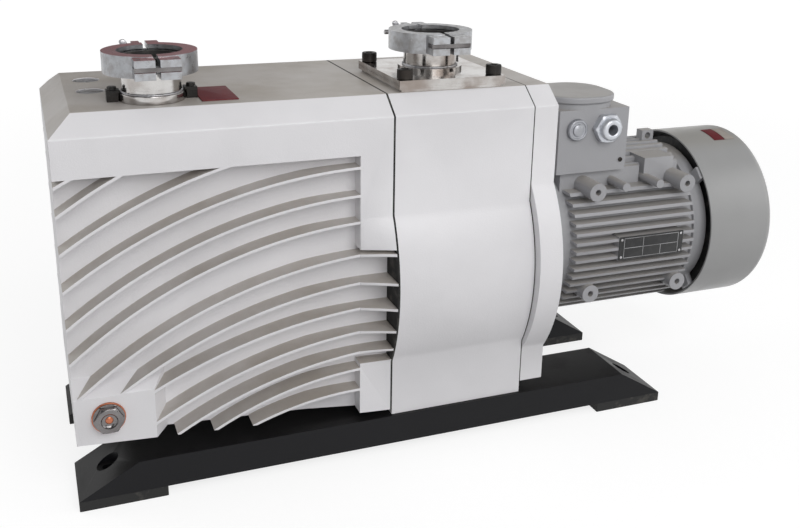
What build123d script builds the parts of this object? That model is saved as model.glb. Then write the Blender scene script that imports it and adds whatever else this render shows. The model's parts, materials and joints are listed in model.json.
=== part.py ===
"""Oil-sealed two-stage rotary vane vacuum pump with its finned motor, on two base rails.

Millimetres, +Z up, +X from the oil box to the motor. The origin is the centre of the base
hole pattern on the floor. Sizes are first laid out from the left end (x), the front wall (y)
and the floor (z), and every piece is moved to the origin when it is written.
"""
import math
import os

from build123d import *

# Base rails and feet
base_left = -3.0
base_length = 663.0
foot_height = 11.0
foot_length = 85.0
rail_height = 33.0
rail_width = 74.0
rail_overhang = 4.0
rail_bevel_left = 59.0
rail_bevel_right = 54.0
rail_wall = 5.0
rail_solid_end = 92.0
base_hole_radius = 5.5
base_hole_inset = 31.0
base_seat_radius = 11.0
base_seat_height = 11.0
casing_bolt_radius = 5.0
casing_bolt_depth = 10.0
casing_bolt_spacing = 100.0
bolt_head_radius = 8.5
bolt_head_height = 7.0
hole_clearance = 0.5

# Housing: one outer section shared by the oil box and the pump casing
body_width = 240.0
wall_height = 326.0
shoulder_run = 24.0
shoulder_drop = 18.0
back_shoulder_run = 12.0
back_shoulder_drop = 9.0
edge_round = 3.0
axis_height = 148.0
belly_half = 81.0
belly_rise = 20.0
belly_sink = 4.0
box_length = 318.0
gasket_thickness = 2.0
ring_gasket = 1.0
ring_length = 27.0
ring_belly_half = 95.0
ring_belly_rise = 31.0
ring_lift = 13.0

# Oil box: hollow hood with a finned recess on both long sides
box_wall = 8.0
box_side_wall = 30.0
box_floor_left = 26.0
box_floor_right = 6.0
box_end_run = 21.0
recess_depth = 22.0
recess_top = 37.0
recess_right = 284.0
ramp_start = 230.0
strip_depth = 14.0
pad_right = 75.0
pad_top = 74.0
pad_flare = 14.0
strip_bottom = 66.0
strip_top = 192.0
fin_thickness = 2.8
fin_root = 2.0
# Each fin: left end x, left end z, right end x, right end z, above the casing's bottom
fins = [(-30.0, 264.0, 252.0, 346.0), (-20.0, 240.0, 268.0, 339.0), (-10.0, 212.0, 284.0, 306.5),
        (-8.0, 177.0, 296.0, 277.0), (-6.0, 141.0, 300.0, 248.5), (-6.0, 105.0, 304.0, 221.0),
        (5.0, 74.0, 318.0, 187.0), (41.0, 71.0, 318.0, 157.0), (66.0, 66.0, 318.0, 129.0),
        (73.0, 35.0, 318.0, 103.0), (95.0, 20.0, 318.0, 80.0), (131.0, 17.0, 300.0, 60.0),
        (170.0, 15.0, 284.0, 36.0)]

# Pump module: plates and cylinders clamped along the shaft
module_gap = 6.0
bulkhead_gap = 108.0
bulkhead_thickness = 10.0
drive_plate_length = 16.0
high_stage_length = 70.0
centre_plate_length = 14.0
low_stage_length = 40.0
end_plate_length = 16.0
cylinder_wall = 20.0
offset = 9.0
line_clearance = 0.1
face_clearance = 0.1
journal_radius = 16.0
shaft_radius = 14.0
running_clearance = 0.05
seal_radius = 26.0
vane_width = 8.0
slot_clearance = 0.05
slot_floor = 13.0
vane_inner = 15.5
vane_tip_gap = 0.05
tie_rod_radius = 4.0
tie_rod_inset = 12.0
tie_rod_clearance = 0.3
tie_head_radius = 7.0
tie_head_height = 6.0
oil_pump_length = 10.0
oil_pump_radius = 24.0
suction_pipe_radius = 4.5
suction_pipe_bore = 3.0
suction_pipe_end = 36.0
inlet_passage_radius = 11.0
transfer_radius = 4.0
transfer_inset_y = 15.0
transfer_inset_z = 25.0
valve_seat_wall = 17.0
valve_offset = 34.0
valve_passage_radius = 5.0
leaf_gap = 0.3
leaf_thickness = 0.8
leaf_left_gap = 4.8
leaf_right_gap = 3.2
stop_lift = 6.0
stop_thickness = 4.0

# Coupling between pump and motor
hub_radius = 32.0
hub_body = 18.0
jaw_length = 12.0
jaw_angle = 40.0
jaw_clearance = 0.3
hub_face_gap = 0.5
hub_gap = 6.0
hub_end_gap = 4.0
jaw_count = 3
motor_hub_body = 21.5

# Casing spaces
casing_wall = 10.0
casing_floor = 12.0
flange_length = 12.0
lantern_radius = 100.0
ring_hole_radius = 70.0
duct_radius = 34.0
duct_bore = 27.0
duct_rise = 108.0
valve_disc_radius = 24.0
valve_disc_thickness = 4.0
valve_stem_radius = 5.0
valve_stem_length = 18.0

# Screws M10 through the lantern ring
screw_radius = 5.0
screw_clearance = 0.3
screw_length = 39.0
screw_head_radius = 8.2
screw_head_height = 10.0
screw_socket_radius = 4.2
screw_socket_depth = 5.0
flange_screw_pitch = 82.5
corner_screw_inset = 22.0
corner_screw_top = 306.0
corner_screw_low = 31.0

# Long screws that hold the oil box
box_screw_radius = 4.0
box_screw_inset_low = 42.0
box_screw_inset_top = 15.0
box_screw_top = 306.0
box_screw_low = 46.0
box_screw_head_radius = 7.0
box_screw_head_height = 8.0
box_screw_recess = 9.0
box_screw_grip = 10.0
box_opening_chamfer_y = 45.0
box_opening_chamfer_z = 65.0

# Ports
exhaust_x = 97.5
exhaust_y = 64.0
inlet_inset = 70.0
inlet_y = 86.0
neck_radius = 28.0
neck_bore = 25.0
flange_radius = 37.5
flange_taper = 0.268
flange_rim = 2.134
centring_half = 1.95
centring_bore = 25.3
centring_tube = 27.0
centring_rim = 30.0
centring_reach = 5.0
exhaust_mid_height = 37.0
inlet_mid_height = 43.0
exhaust_base_radius = 31.0
exhaust_base_height = 8.0
plate_length = 116.0
plate_width = 128.0
plate_height = 12.0
plate_skirt = 3.0
plate_skirt_inset = 3.0
plate_screw_x = 49.0
plate_screw_y = 54.0
inlet_base_radius = 34.0
inlet_base_height = 4.0

# Claws that hold the exhaust flange
claw_width = 12.0
claw_inner = 29.5
claw_outer = 42.0
claw_top = 3.0
claw_screw_radius = 4.5
claw_screw_height = 3.0
claw_screw_pitch = 36.5
claw_angles = (0.0, 90.0, 180.0)

# Ring clamps
clamp_radius = 44.0
clamp_half_height = 10.0
clamp_lip = 30.5
clamp_groove = 38.0
clamp_rim = 3.95
clamp_split = 2.2
ear_bite = 2.0
ear_half_height = 9.0
link_ear_inner = 2.2
link_ear_width = 18.3
link_ear_reach = 58.0
link_ear_root = 38.0
link_pin_offset = 16.5
link_pin_reach = 51.0
link_pin_radius = 2.5
link_half = 2.0
link_slot = 0.3
link_length = 42.0
link_depth = 11.0
bolt_reach = 56.0
bolt_pin_offset = 9.0
bolt_ear_gap = 3.0
bolt_ear_width = 12.0
bolt_ear_reach = 62.0
bolt_eye_half = 3.0
bolt_eye_radius = 5.0
bolt_rod_radius = 2.6
bolt_length = 40.0
catch_ear_radius = 20.0
nut_gap = 0.3
nut_radius = 6.5
nut_length = 10.0
wing_reach = 12.5
wing_thickness = 3.0
wing_start = 3.0

# Plugs on the oil box roof and the drain
plug_x = 45.0
filler_y = 118.5
ballast_y = 178.0
plug_hole_radius = 9.3
plug_thread_radius = 9.0
plug_recess_radius = 13.5
plug_recess_depth = 4.0
plug_head_radius = 12.5
plug_gap = 0.3
plug_head_height = 3.0
plug_thread_length = 9.0
plug_slot_width = 3.0
plug_slot_depth = 1.6
drain_x = 31.0
drain_z = 52.0
drain_thread_length = 16.0
drain_washer_radius = 16.0
drain_washer_thickness = 2.0
drain_head_flats = 25.0
drain_head_height = 7.0
drain_dimple_radius = 6.0
drain_dimple_depth = 2.5
drain_passage_radius = 6.0

# Exhaust oil filter under the roof
filter_radius = 30.0
filter_bore = 19.0
filter_length = 150.0
filter_cap = 6.0

# Bare plates
plate_thickness = 1.0
label_gap = 0.2
info_left = 140.0
info_length = 35.0
info_front = 38.0
info_width = 66.0
label_low_angle = 93.0
label_high_angle = 122.0

# Motor
motor_flange_radius = 98.0
motor_flange_length = 14.0
shield_radius = 88.0
shield_length = 40.0
shield_wall = 12.0
frame_bore = 78.0
frame_root = 86.0
frame_tip = 100.0
frame_length = 172.0
frame_fin_pitch = 10.5
frame_fin_thickness = 3.4
frame_fin_count = 15
frame_fin_low = 84.0
top_fin_count = 11
top_fin_root = 58.0
frame_fin_margin = 7.0
core_start = 25.0
core_length = 110.0
core_bore = 50.0
air_gap = 0.5
winding_length = 17.0
winding_outer = 74.0
winding_inner = 54.0
bearing_bore = 15.0
bearing_radius = 31.0
bearing_length = 16.0
rotor_shaft = 18.0
fan_shaft = 10.0
rear_shield_length = 18.0
rear_shield_radius = 90.0
rear_wall = 4.0
shaft_gap = 2.0
cowl_radius = 106.0
cowl_skin = 2.5
cowl_start = 13.0
cowl_length = 92.0
cowl_round = 12.0
grille_slot = 5.0
grille_pitch = 11.0
grille_first = 16.0
grille_count = 6
grille_bar = 7.0
ear_count = 4
ear_width = 16.0
ear_length = 8.0
ear_turn = 45.0
fan_gap = 6.0
fan_hub_radius = 20.0
fan_hub_length = 24.0
fan_disc_radius = 60.0
fan_disc_thickness = 3.0
fan_blade_radius = 90.0
fan_blade_length = 30.0
fan_blade_thickness = 3.0
fan_blade_count = 8
fan_shaft_reach = 32.0
boss_x = (32.0, 151.0)
boss_radius = 10.5
boss_face = 96.0
boss_high = 69.0
boss_low = 53.0
boss_hole_radius = 3.4
boss_hole_depth = 12.0
boss_root = 48.0
small_boss_x = (70.0, 115.0)
small_boss_radius = 5.0
pedestal_left = 3.0
pedestal_length = 105.0
pedestal_front = 60.0
pedestal_back = 14.0
pedestal_top = 85.0
pedestal_root = 61.0
lift_pad_left = 112.0
lift_pad_length = 40.0
lift_pad_front = 64.0
lift_pad_back = 10.0
lift_pad_top = 94.0
lug_left = 146.0
lug_length = 16.0
lug_width = 12.0
lug_top = 111.0
lug_offset = 0.0
lug_hole = 4.0
lug_hole_drop = 6.5
name_left = 62.0
name_length = 87.0
name_height = 28.0
name_root = 60.0

# Terminal box
box_left = -7.0
terminal_length = 89.0
terminal_front = 68.0
terminal_depth = 86.0
terminal_height = 73.0
terminal_wall = 4.0
terminal_step = 10.0
terminal_neck = 6.0
lid_overhang = 3.0
lid_corner = 36.0
lid_height = 8.0
gland_height = 51.0
plug_gland_x = 22.0
plug_gland_radius = 12.5
plug_gland_length = 7.0
cable_gland_x = 60.0
cable_gland_radius = 18.0
cable_gland_length = 16.0
cable_gland_dome = 13.0
gland_thread_radius = 11.0
cable_hole_radius = 6.0

# Shared counts and angles
hexagon = 6
quarter_angles = (45.0, 135.0, 225.0, 315.0)
jaw_step = 360 / jaw_count

# Derived positions
coupling_length = hub_gap + hub_body + jaw_length + hub_face_gap + motor_hub_body + hub_end_gap
casing_length = bulkhead_gap + bulkhead_thickness + coupling_length - ring_gasket - ring_length
rail_top = foot_height + rail_height
casing_bottom = rail_top
crease = casing_bottom + wall_height
roof = crease + shoulder_drop
axis_y = body_width / 2
axis_z = casing_bottom + axis_height
base_mid = base_left + base_length / 2
casing_left = box_length + gasket_thickness
casing_right = casing_left + casing_length
inlet_x = casing_left + inlet_inset
ring_left = casing_right + ring_gasket
ring_right = ring_left + ring_length
bulkhead_left = casing_left + bulkhead_gap
bulkhead_right = bulkhead_left + bulkhead_thickness
high_right = bulkhead_left - drive_plate_length
high_left = high_right - high_stage_length
low_right = high_left - centre_plate_length
low_left = low_right - low_stage_length
end_left = low_left - end_plate_length
oil_pump_left = end_left - oil_pump_length
module_radius = axis_y - box_side_wall - module_gap
cylinder_radius = module_radius - cylinder_wall - offset
tie_rod_pitch = module_radius - tie_rod_inset
transfer_y = cylinder_radius - transfer_inset_y
transfer_z = cylinder_radius - transfer_inset_z
valve_seat_height = cylinder_radius - offset + valve_seat_wall
rotor_radius = cylinder_radius - offset - line_clearance
cylinder_z = axis_z - offset
hub_left = bulkhead_right + hub_gap
jaw_left = hub_left + hub_body
motor_hub_left = jaw_left + jaw_length + hub_face_gap
motor_hub_right = motor_hub_left + motor_hub_body
motor_shaft_left = motor_hub_left + hub_face_gap
frame_left = ring_right + shield_length
frame_right = frame_left + frame_length
rear_right = frame_right + rear_shield_length
cowl_left = frame_right + cowl_start
cowl_right = cowl_left + cowl_length
exhaust_mid = roof + exhaust_mid_height
inlet_mid = roof + inlet_mid_height
duct_floor = axis_z + duct_rise
terminal_left = frame_left + box_left
terminal_bottom = axis_z + pedestal_top
terminal_y = axis_y - terminal_front


def block(x0, x1, y0, y1, z0, z1):
    """Box between two opposite corners."""
    return Pos((x0 + x1) / 2, (y0 + y1) / 2, (z0 + z1) / 2) * Box(x1 - x0, y1 - y0, z1 - z0)


def rod_x(radius, x0, x1, y=axis_y, z=axis_z):
    """Round bar along X."""
    return Pos((x0 + x1) / 2, y, z) * Rot(0, 90, 0) * Cylinder(radius, x1 - x0)


def rod_y(radius, y0, y1, x, z):
    """Round bar along Y."""
    return Pos(x, (y0 + y1) / 2, z) * Rot(90, 0, 0) * Cylinder(radius, y1 - y0)


def rod_z(radius, z0, z1, x, y):
    """Round bar along Z."""
    return Pos(x, y, (z0 + z1) / 2) * Cylinder(radius, z1 - z0)


def tube_x(outer, inner, x0, x1, y=axis_y, z=axis_z):
    """Round tube along X."""
    return rod_x(outer, x0, x1, y, z) - rod_x(inner, x0, x1, y, z)


def prism_y(points, y0, y1):
    """Polygon of (x, z) points carried from y0 to y1."""
    face = Plane.XZ.offset(-y1) * make_face(Polyline(*points, close=True))
    return extrude(face, amount=y1 - y0)


def prism_x(points, x0, x1):
    """Polygon of (y, z) points carried from x0 to x1."""
    face = Plane.YZ.offset(x0) * make_face(Polyline(*points, close=True))
    return extrude(face, amount=x1 - x0)


def ring_z(points, x, y, z):
    """Solid of revolution about Z from (radius, height) points."""
    face = Plane.XZ * make_face(Polyline(*points, close=True))
    return Pos(x, y, z) * revolve(face, Axis.Z)


def mirrored(shape):
    """The same shape on the other long side."""
    return mirror(shape, Plane.XZ.offset(-axis_y))


def around_axis(radius, degrees):
    """Point (y, z) at a radius and an angle round the shaft."""
    turn = math.radians(degrees)
    return axis_y + radius * math.cos(turn), axis_z + radius * math.sin(turn)


def group(pieces):
    """Several separate solids in one node."""
    solids = []
    for piece in pieces:
        solids.extend(piece.solids())
    return Compound(solids)


def save(shape, name):
    """Move a piece to the origin of the base holes and write it."""
    moved = Pos(-base_mid, -axis_y, 0) * shape
    export_step(moved, "parts/" + name + ".step")


def section(bottom, middle, half, rise):
    """Outer section of the housing in the (y, z) plane, with a belly on both sides."""
    lines = [
        Line((0, bottom), (0, middle - half)),
        ThreePointArc((0, middle - half), (-rise, middle), (0, middle + half)),
        Line((0, middle + half), (0, crease)),
        Line((0, crease), (shoulder_run, roof)),
        Line((shoulder_run, roof), (body_width - back_shoulder_run, roof)),
        Line((body_width - back_shoulder_run, roof), (body_width, roof - back_shoulder_drop)),
        Line((body_width, roof - back_shoulder_drop), (body_width, middle + half)),
        ThreePointArc((body_width, middle + half), (body_width + rise, middle),
                      (body_width, middle - half)),
        Line((body_width, middle - half), (body_width, bottom)),
        Line((body_width, bottom), (0, bottom)),
    ]
    sketch = make_face(lines)
    tops = [v for v in sketch.vertices() if v.Y > crease - edge_round]
    return fillet(tops, edge_round)


def plain_section(bottom):
    """The housing section without the belly."""
    points = [(0, bottom), (0, crease), (shoulder_run, roof),
              (body_width - back_shoulder_run, roof), (body_width, roof - back_shoulder_drop),
              (body_width, bottom)]
    sketch = make_face(Polyline(*points, close=True))
    tops = [v for v in sketch.vertices() if v.Y > crease - edge_round]
    return fillet(tops, edge_round)


def belly_middle():
    """Height of the middle of the housing's belly."""
    return axis_z - belly_sink


def rail(front):
    """One base rail: a channel with bevelled ends, open below."""
    right = base_left + base_length
    low, high = foot_height, rail_top
    outer = prism_y([(base_left, low), (right, low), (right - rail_bevel_right, high),
                     (base_left + rail_bevel_left, high)], front, front + rail_width)
    body = outer - block(base_left + rail_solid_end, right - rail_solid_end, front + rail_wall,
                         front + rail_width - rail_wall, low - rail_wall, high - rail_wall)
    for x, y in base_holes():
        body -= rod_z(base_hole_radius, 0, rail_top, x, y)
        body -= rod_z(base_seat_radius, low + base_seat_height, rail_top, x, y)
    for x, y in casing_bolt_places():
        body -= rod_z(casing_bolt_radius + hole_clearance, low, rail_top, x, y)
    return body


def rail_front_y():
    """Front face of the front rail."""
    return -rail_overhang


def rail_back_y():
    """Front face of the rear rail."""
    return body_width + rail_overhang - rail_width


def base_holes():
    """Places of the four holes in the feet."""
    inset = rail_width / 2
    return [(x, y) for x in (base_left + base_hole_inset, base_left + base_length - base_hole_inset)
            for y in (rail_front_y() + inset, rail_back_y() + inset)]


def casing_bolt_places():
    """Places of the four bolts that hold the pump casing to the rails."""
    inset = rail_width / 2
    step = casing_bolt_spacing / 2
    middle = (casing_left + casing_right) / 2
    return [(x, y) for x in (middle - step, middle + step)
            for y in (rail_front_y() + inset, rail_back_y() + inset)]


def foot_pads():
    """Four rubber pads under the ends of the rails."""
    pads = []
    for front in (rail_front_y(), rail_back_y()):
        for left in (base_left, base_left + base_length - foot_length):
            pad = block(left, left + foot_length, front, front + rail_width, 0, foot_height)
            for x, y in base_holes():
                pad -= rod_z(base_hole_radius, -foot_height, 2 * foot_height, x, y)
            pads.append(pad)
    return group(pads)


def base_bolts():
    """Four bolts from inside the rails up into the pump casing."""
    bolts = []
    for x, y in casing_bolt_places():
        top = rail_top - rail_wall
        head = Pos(x, y, top - bolt_head_height / 2) * extrude(
            RegularPolygon(bolt_head_radius, hexagon), bolt_head_height / 2, both=True)
        bolts.append(head + rod_z(casing_bolt_radius, top - bolt_head_height,
                                  casing_bottom + casing_bolt_depth, x, y))
    return group(bolts)


def fin_band(entry):
    """One curved fin, level at its right end, as a band through the recess."""
    x0, z0, x1, z1 = entry
    run, climb = x1 - x0, z1 - z0
    radius = (run * run + climb * climb) / (2 * climb)
    middle_z = casing_bottom + z1 - radius
    sweep = math.asin(run / radius)

    def at(r, turn):
        return x1 - r * math.sin(turn), middle_z + r * math.cos(turn)

    outer, inner = radius + fin_thickness / 2, radius - fin_thickness / 2
    face = make_face([
        ThreePointArc(at(outer, sweep), at(outer, sweep / 2), at(outer, 0)),
        Line(at(outer, 0), at(inner, 0)),
        ThreePointArc(at(inner, 0), at(inner, sweep / 2), at(inner, sweep)),
        Line(at(inner, sweep), at(outer, sweep)),
    ])
    front = -belly_rise - recess_depth
    return extrude(Plane.XZ.offset(-(recess_depth + fin_root)) * face,
                   amount=recess_depth + fin_root - front)


def drain_pad():
    """Flared pad under the drain plug, wider at the recess's floor than at its face."""
    def outline(y, flare):
        left, right = -2 * box_wall, pad_right + flare
        low, high = casing_bottom - box_wall, casing_bottom + pad_top + flare
        corners = Polyline((left, low), (right, low), (right, high), (left, high), close=True)
        return Plane.XZ.offset(-y) * make_face(corners)

    return loft([outline(0, 0), outline(recess_depth + fin_root, pad_flare)])


def recess_space():
    """Space that is cut out of the front wall; its floor rises towards the seam."""
    front = -belly_rise - recess_depth
    top = crease - recess_top
    low = casing_bottom + pad_top
    space = block(-box_wall, recess_right, front, recess_depth, low, top)
    space += block(pad_right, recess_right, front, recess_depth, 0, low + box_wall)
    space += block(recess_right - box_wall, casing_left, front, recess_depth,
                   casing_bottom + strip_bottom, casing_bottom + strip_top)
    floor = make_face(Polyline((-box_wall, front), (casing_left, front), (casing_left, strip_depth),
                               (ramp_start, recess_depth), (-box_wall, recess_depth), close=True))
    return (space & extrude(floor, amount=roof)) - drain_pad()


def belly_fairing():
    """Belly that grows from nothing to full height at the seam."""
    middle = belly_middle()

    def slice_at(x, rise):
        lines = [ThreePointArc((0, middle - belly_half), (-rise, middle), (0, middle + belly_half)),
                 Line((0, middle + belly_half), (box_wall, middle + belly_half)),
                 Line((box_wall, middle + belly_half), (box_wall, middle - belly_half)),
                 Line((box_wall, middle - belly_half), (0, middle - belly_half))]
        return Plane.YZ.offset(x) * make_face(lines)

    return loft([slice_at(recess_right, fin_root / 2), slice_at(box_length, belly_rise)])


def box_screw_places():
    """Corners of the long screws, as (y, z)."""
    places = []
    for inset, height in ((box_screw_inset_low, box_screw_low), (box_screw_inset_top, box_screw_top)):
        places += [(y, casing_bottom + height) for y in (inset, body_width - inset)]
    return places


def oil_box():
    """Ribbed oil hood: blank, recesses, fins, inner space and openings."""
    left_bottom = casing_bottom + box_floor_left
    right_bottom = casing_bottom + box_floor_right
    blank = extrude(Plane.YZ * plain_section(casing_bottom), amount=box_length)
    fairing = belly_fairing()
    blank = blank + fairing + mirrored(fairing)
    far = body_width + 2 * belly_rise + recess_depth
    blank -= prism_y([(-box_wall, 0), (casing_left, 0), (casing_left, right_bottom),
                      (box_length, right_bottom), (0, left_bottom), (-box_wall, left_bottom)],
                     -far, far)
    blank -= prism_y([(-box_wall, crease), (0, crease), (box_end_run, roof),
                      (box_end_run, roof + box_wall), (-box_wall, roof + box_wall)], -far, far)
    recess = recess_space()
    band = None
    for entry in fins:
        band = fin_band(entry) if band is None else band + fin_band(entry)
    ribs = band & recess_with_root(recess) & blank
    shell = blank - recess - mirrored(recess)
    top = roof - box_wall
    shell -= prism_y([(box_wall, left_bottom + box_wall), (casing_left, right_bottom + box_wall),
                      (casing_left, top), (box_side_wall, top),
                      (box_wall, crease - box_wall - fin_root)],
                     box_side_wall, body_width - box_side_wall)
    shell += ribs
    shell += mirrored(ribs)
    shell -= rod_z(duct_bore, top - box_wall, roof + box_wall, exhaust_x, exhaust_y)
    for y in (filler_y, ballast_y):
        shell -= rod_z(plug_hole_radius, top - box_wall, roof + box_wall, plug_x, y)
        shell -= rod_z(plug_recess_radius, roof - plug_recess_depth, roof + box_wall, plug_x, y)
    z = casing_bottom + drain_z
    shell -= rod_y(plug_hole_radius, -box_wall, drain_thread_length + drain_washer_thickness,
                   drain_x, z)
    shell -= rod_y(drain_passage_radius, 0, box_side_wall + box_wall, drain_x, z)
    for y, z in box_screw_places():
        shell += rod_x(box_screw_head_radius + box_wall, box_wall / 2, box_screw_recess + box_wall,
                       y, z) & blank
        shell -= rod_x(box_screw_radius + screw_clearance, 0, box_length, y, z)
        shell -= rod_x(box_screw_head_radius + screw_clearance, -box_wall, box_screw_recess, y, z)
    return shell


def recess_with_root(recess):
    """The recess carried a little into the wall behind it, for the fin roots."""
    return recess + Pos(0, fin_root, 0) * recess


def seam_gaskets():
    """Flat gaskets at both seams of the pump casing."""
    right_bottom = casing_bottom + box_floor_right
    first = extrude(Plane.YZ.offset(box_length) * section(right_bottom, belly_middle(), belly_half,
                                                          belly_rise), amount=gasket_thickness)
    first -= block(0, 2 * casing_left, box_side_wall, body_width - box_side_wall,
                   right_bottom + box_wall, roof - box_wall)
    for y, z in box_screw_places():
        first -= rod_x(box_screw_radius + screw_clearance, box_length, casing_left, y, z)
    second = extrude(Plane.YZ.offset(casing_right) * section(
        casing_bottom + ring_lift, belly_middle(), belly_half, belly_rise), amount=ring_gasket)
    second -= rod_x(lantern_radius, casing_right - ring_gasket, ring_left + ring_gasket)
    for y, z in corner_places():
        second -= rod_x(screw_radius + screw_clearance, casing_right - ring_gasket,
                        ring_left + ring_gasket, y, z)
    return group([first, second])


def box_tie_screws():
    """Four long screws through the oil box into the pump casing."""
    screws = []
    for y, z in box_screw_places():
        head = rod_x(box_screw_head_radius, box_screw_recess - box_screw_head_height,
                     box_screw_recess, y, z)
        head -= rod_x(box_screw_head_radius / 2, 0, box_screw_recess - box_screw_head_height / 2,
                      y, z)
        screws.append(head + rod_x(box_screw_radius, box_screw_recess - box_screw_radius / 2,
                                   casing_left + box_screw_grip, y, z))
    return group(screws)


def corner_places():
    """Corner screws of the lantern ring, as (y, z)."""
    return [(y, casing_bottom + z) for y in (corner_screw_inset, body_width - corner_screw_inset)
            for z in (corner_screw_low, corner_screw_top)]


def flange_screw_places():
    """Screws of the motor flange on their circle, as (y, z)."""
    return [around_axis(flange_screw_pitch, turn) for turn in quarter_angles]


def tie_rod_places():
    """Clamping rods of the pump module, as (y, z)."""
    return [around_axis(tie_rod_pitch, turn) for turn in quarter_angles]


def pump_casing():
    """Pump casing: oil side space, bulkhead, lantern space and inlet duct."""
    floor = casing_bottom + casing_floor
    top = roof - casing_wall
    body = extrude(Plane.YZ.offset(casing_left) * section(casing_bottom, belly_middle(), belly_half,
                                                          belly_rise), amount=casing_length)
    low, high = floor + fin_root * 2, roof - box_wall
    near, far = box_side_wall, body_width - box_side_wall
    cut_y, cut_z = box_opening_chamfer_y, box_opening_chamfer_z
    body -= prism_x([(near, low + cut_z), (near + cut_y, low), (far - cut_y, low),
                     (far, low + cut_z), (far, high - cut_z), (far - cut_y, high),
                     (near + cut_y, high), (near, high - cut_z)],
                    casing_left - flange_length, casing_left + flange_length)
    edge, slope = casing_wall, shoulder_run - casing_wall
    body -= prism_x([(edge, floor), (edge, top - slope - fin_root), (edge + slope, top),
                     (body_width - edge - slope, top), (body_width - edge, top - slope - fin_root),
                     (body_width - edge, floor)], casing_left + flange_length, bulkhead_left)
    body -= rod_x(lantern_radius, bulkhead_right, ring_right)
    duct = rod_z(duct_radius, duct_floor - duct_radius - fin_root, top + fin_root,
                 inlet_x, inlet_y) & block(casing_left, bulkhead_left, 0, body_width, 0, top + fin_root)
    duct -= rod_x(module_radius, casing_left, bulkhead_left)
    body += duct
    body -= rod_z(duct_bore, duct_floor, roof + casing_wall, inlet_x, inlet_y)
    body -= rod_z(inlet_passage_radius, axis_z, roof, inlet_x, inlet_y)
    body -= rod_x(seal_radius, casing_left, casing_right)
    for y, z in tie_rod_places():
        body -= rod_x(tie_rod_radius, bulkhead_left - casing_wall, bulkhead_right - fin_root, y, z)
    for y, z in box_screw_places():
        body -= rod_x(box_screw_radius, casing_left, casing_left + flange_length, y, z)
    for y, z in corner_places():
        body -= rod_x(screw_radius, ring_right - screw_head_height - screw_length, ring_right, y, z)
    for x, y in casing_bolt_places():
        body -= rod_z(casing_bolt_radius, 0, casing_bottom + casing_bolt_depth, x, y)
    for x, y in plate_screw_places():
        body -= rod_z(screw_radius, roof - casing_wall, roof + casing_wall, x, y)
    return body


def cover_ring():
    """Lantern ring between the pump casing and the motor flange."""
    body = extrude(Plane.YZ.offset(ring_left) * section(casing_bottom + ring_lift, axis_z,
                                                        ring_belly_half, ring_belly_rise),
                   amount=ring_length)
    body -= rod_x(ring_hole_radius, ring_left - casing_wall, ring_right + casing_wall)
    for y, z in flange_screw_places() + corner_places():
        body -= rod_x(screw_radius + screw_clearance, ring_left - casing_wall,
                      ring_right + casing_wall, y, z)
    for y, z in corner_places():
        body -= rod_x(screw_head_radius + screw_clearance, ring_right - screw_head_height,
                      ring_right + casing_wall, y, z)
    return body


def cap_screw_x(x, y, z, way):
    """Socket head cap screw whose head's underside is at x; way is the head's side."""
    head_end = x + way * screw_head_height
    tip = x - way * screw_length
    socket = head_end - way * screw_socket_depth
    body = rod_x(screw_head_radius, min(x, head_end), max(x, head_end), y, z)
    body += rod_x(screw_radius, min(x, tip), max(x, tip), y, z)
    cut = extrude(Plane.YZ.offset(min(socket, head_end)) * RegularPolygon(screw_socket_radius, hexagon),
                  amount=screw_socket_depth)
    return body - Pos(0, y, z) * cut


def lantern_screws():
    """Eight equal cap screws: four at the ring's corners, four in the motor flange."""
    screws = [cap_screw_x(ring_right - screw_head_height, y, z, 1) for y, z in corner_places()]
    screws += [cap_screw_x(ring_left, y, z, -1) for y, z in flange_screw_places()]
    return group(screws)


def module_plate(x0, x1, bore):
    """Round plate of the pump module with its shaft bore and rod holes."""
    plate = tube_x(module_radius, bore, x0, x1)
    for y, z in tie_rod_places():
        plate -= rod_x(tie_rod_radius + tie_rod_clearance, x0, x1, y, z)
    return plate


def drive_side_plate():
    """Plate between the high-vacuum cylinder and the bulkhead."""
    return module_plate(high_right, bulkhead_left, journal_radius + running_clearance)


def centre_plate():
    """Plate between both stages, with the transfer hole."""
    plate = module_plate(low_right, high_left, journal_radius + running_clearance)
    return plate - rod_x(transfer_radius, low_right, high_left, axis_y + transfer_y,
                         axis_z - transfer_z)


def end_plate():
    """Plate that closes the low-vacuum cylinder."""
    return module_plate(end_left, low_left, journal_radius + running_clearance)


def stage_cylinder(x0, x1):
    """Stator cylinder with its bore set below the shaft."""
    body = rod_x(module_radius, x0, x1) - rod_x(cylinder_radius, x0, x1, axis_y, cylinder_z)
    for y, z in tie_rod_places():
        body -= rod_x(tie_rod_radius + tie_rod_clearance, x0, x1, y, z)
    return body


def high_stage():
    """High-vacuum stator with the inlet passage."""
    body = stage_cylinder(high_left, high_right)
    return body - rod_z(inlet_passage_radius, cylinder_z, roof, inlet_x, inlet_y)


def valve_y():
    """Line of the exhaust valve across the shaft."""
    return axis_y + valve_offset


def low_stage():
    """Low-vacuum stator with the flat seat of the exhaust valve."""
    body = stage_cylinder(low_left, low_right)
    seat = axis_z + valve_seat_height
    body -= block(low_left, low_right, valve_y() - 2 * valve_passage_radius - 2 * leaf_thickness,
                  body_width, seat, roof)
    return body - rod_z(valve_passage_radius, cylinder_z, roof, (low_left + low_right) / 2, valve_y())


def module_tie_rods():
    """Four rods with heads that clamp the module to the bulkhead."""
    rods = []
    for y, z in tie_rod_places():
        head = rod_x(tie_head_radius, end_left - tie_head_height, end_left, y, z)
        rods.append(head + rod_x(tie_rod_radius, end_left - tie_head_height / 2,
                                 bulkhead_right - fin_root, y, z))
    return group(rods)


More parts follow.
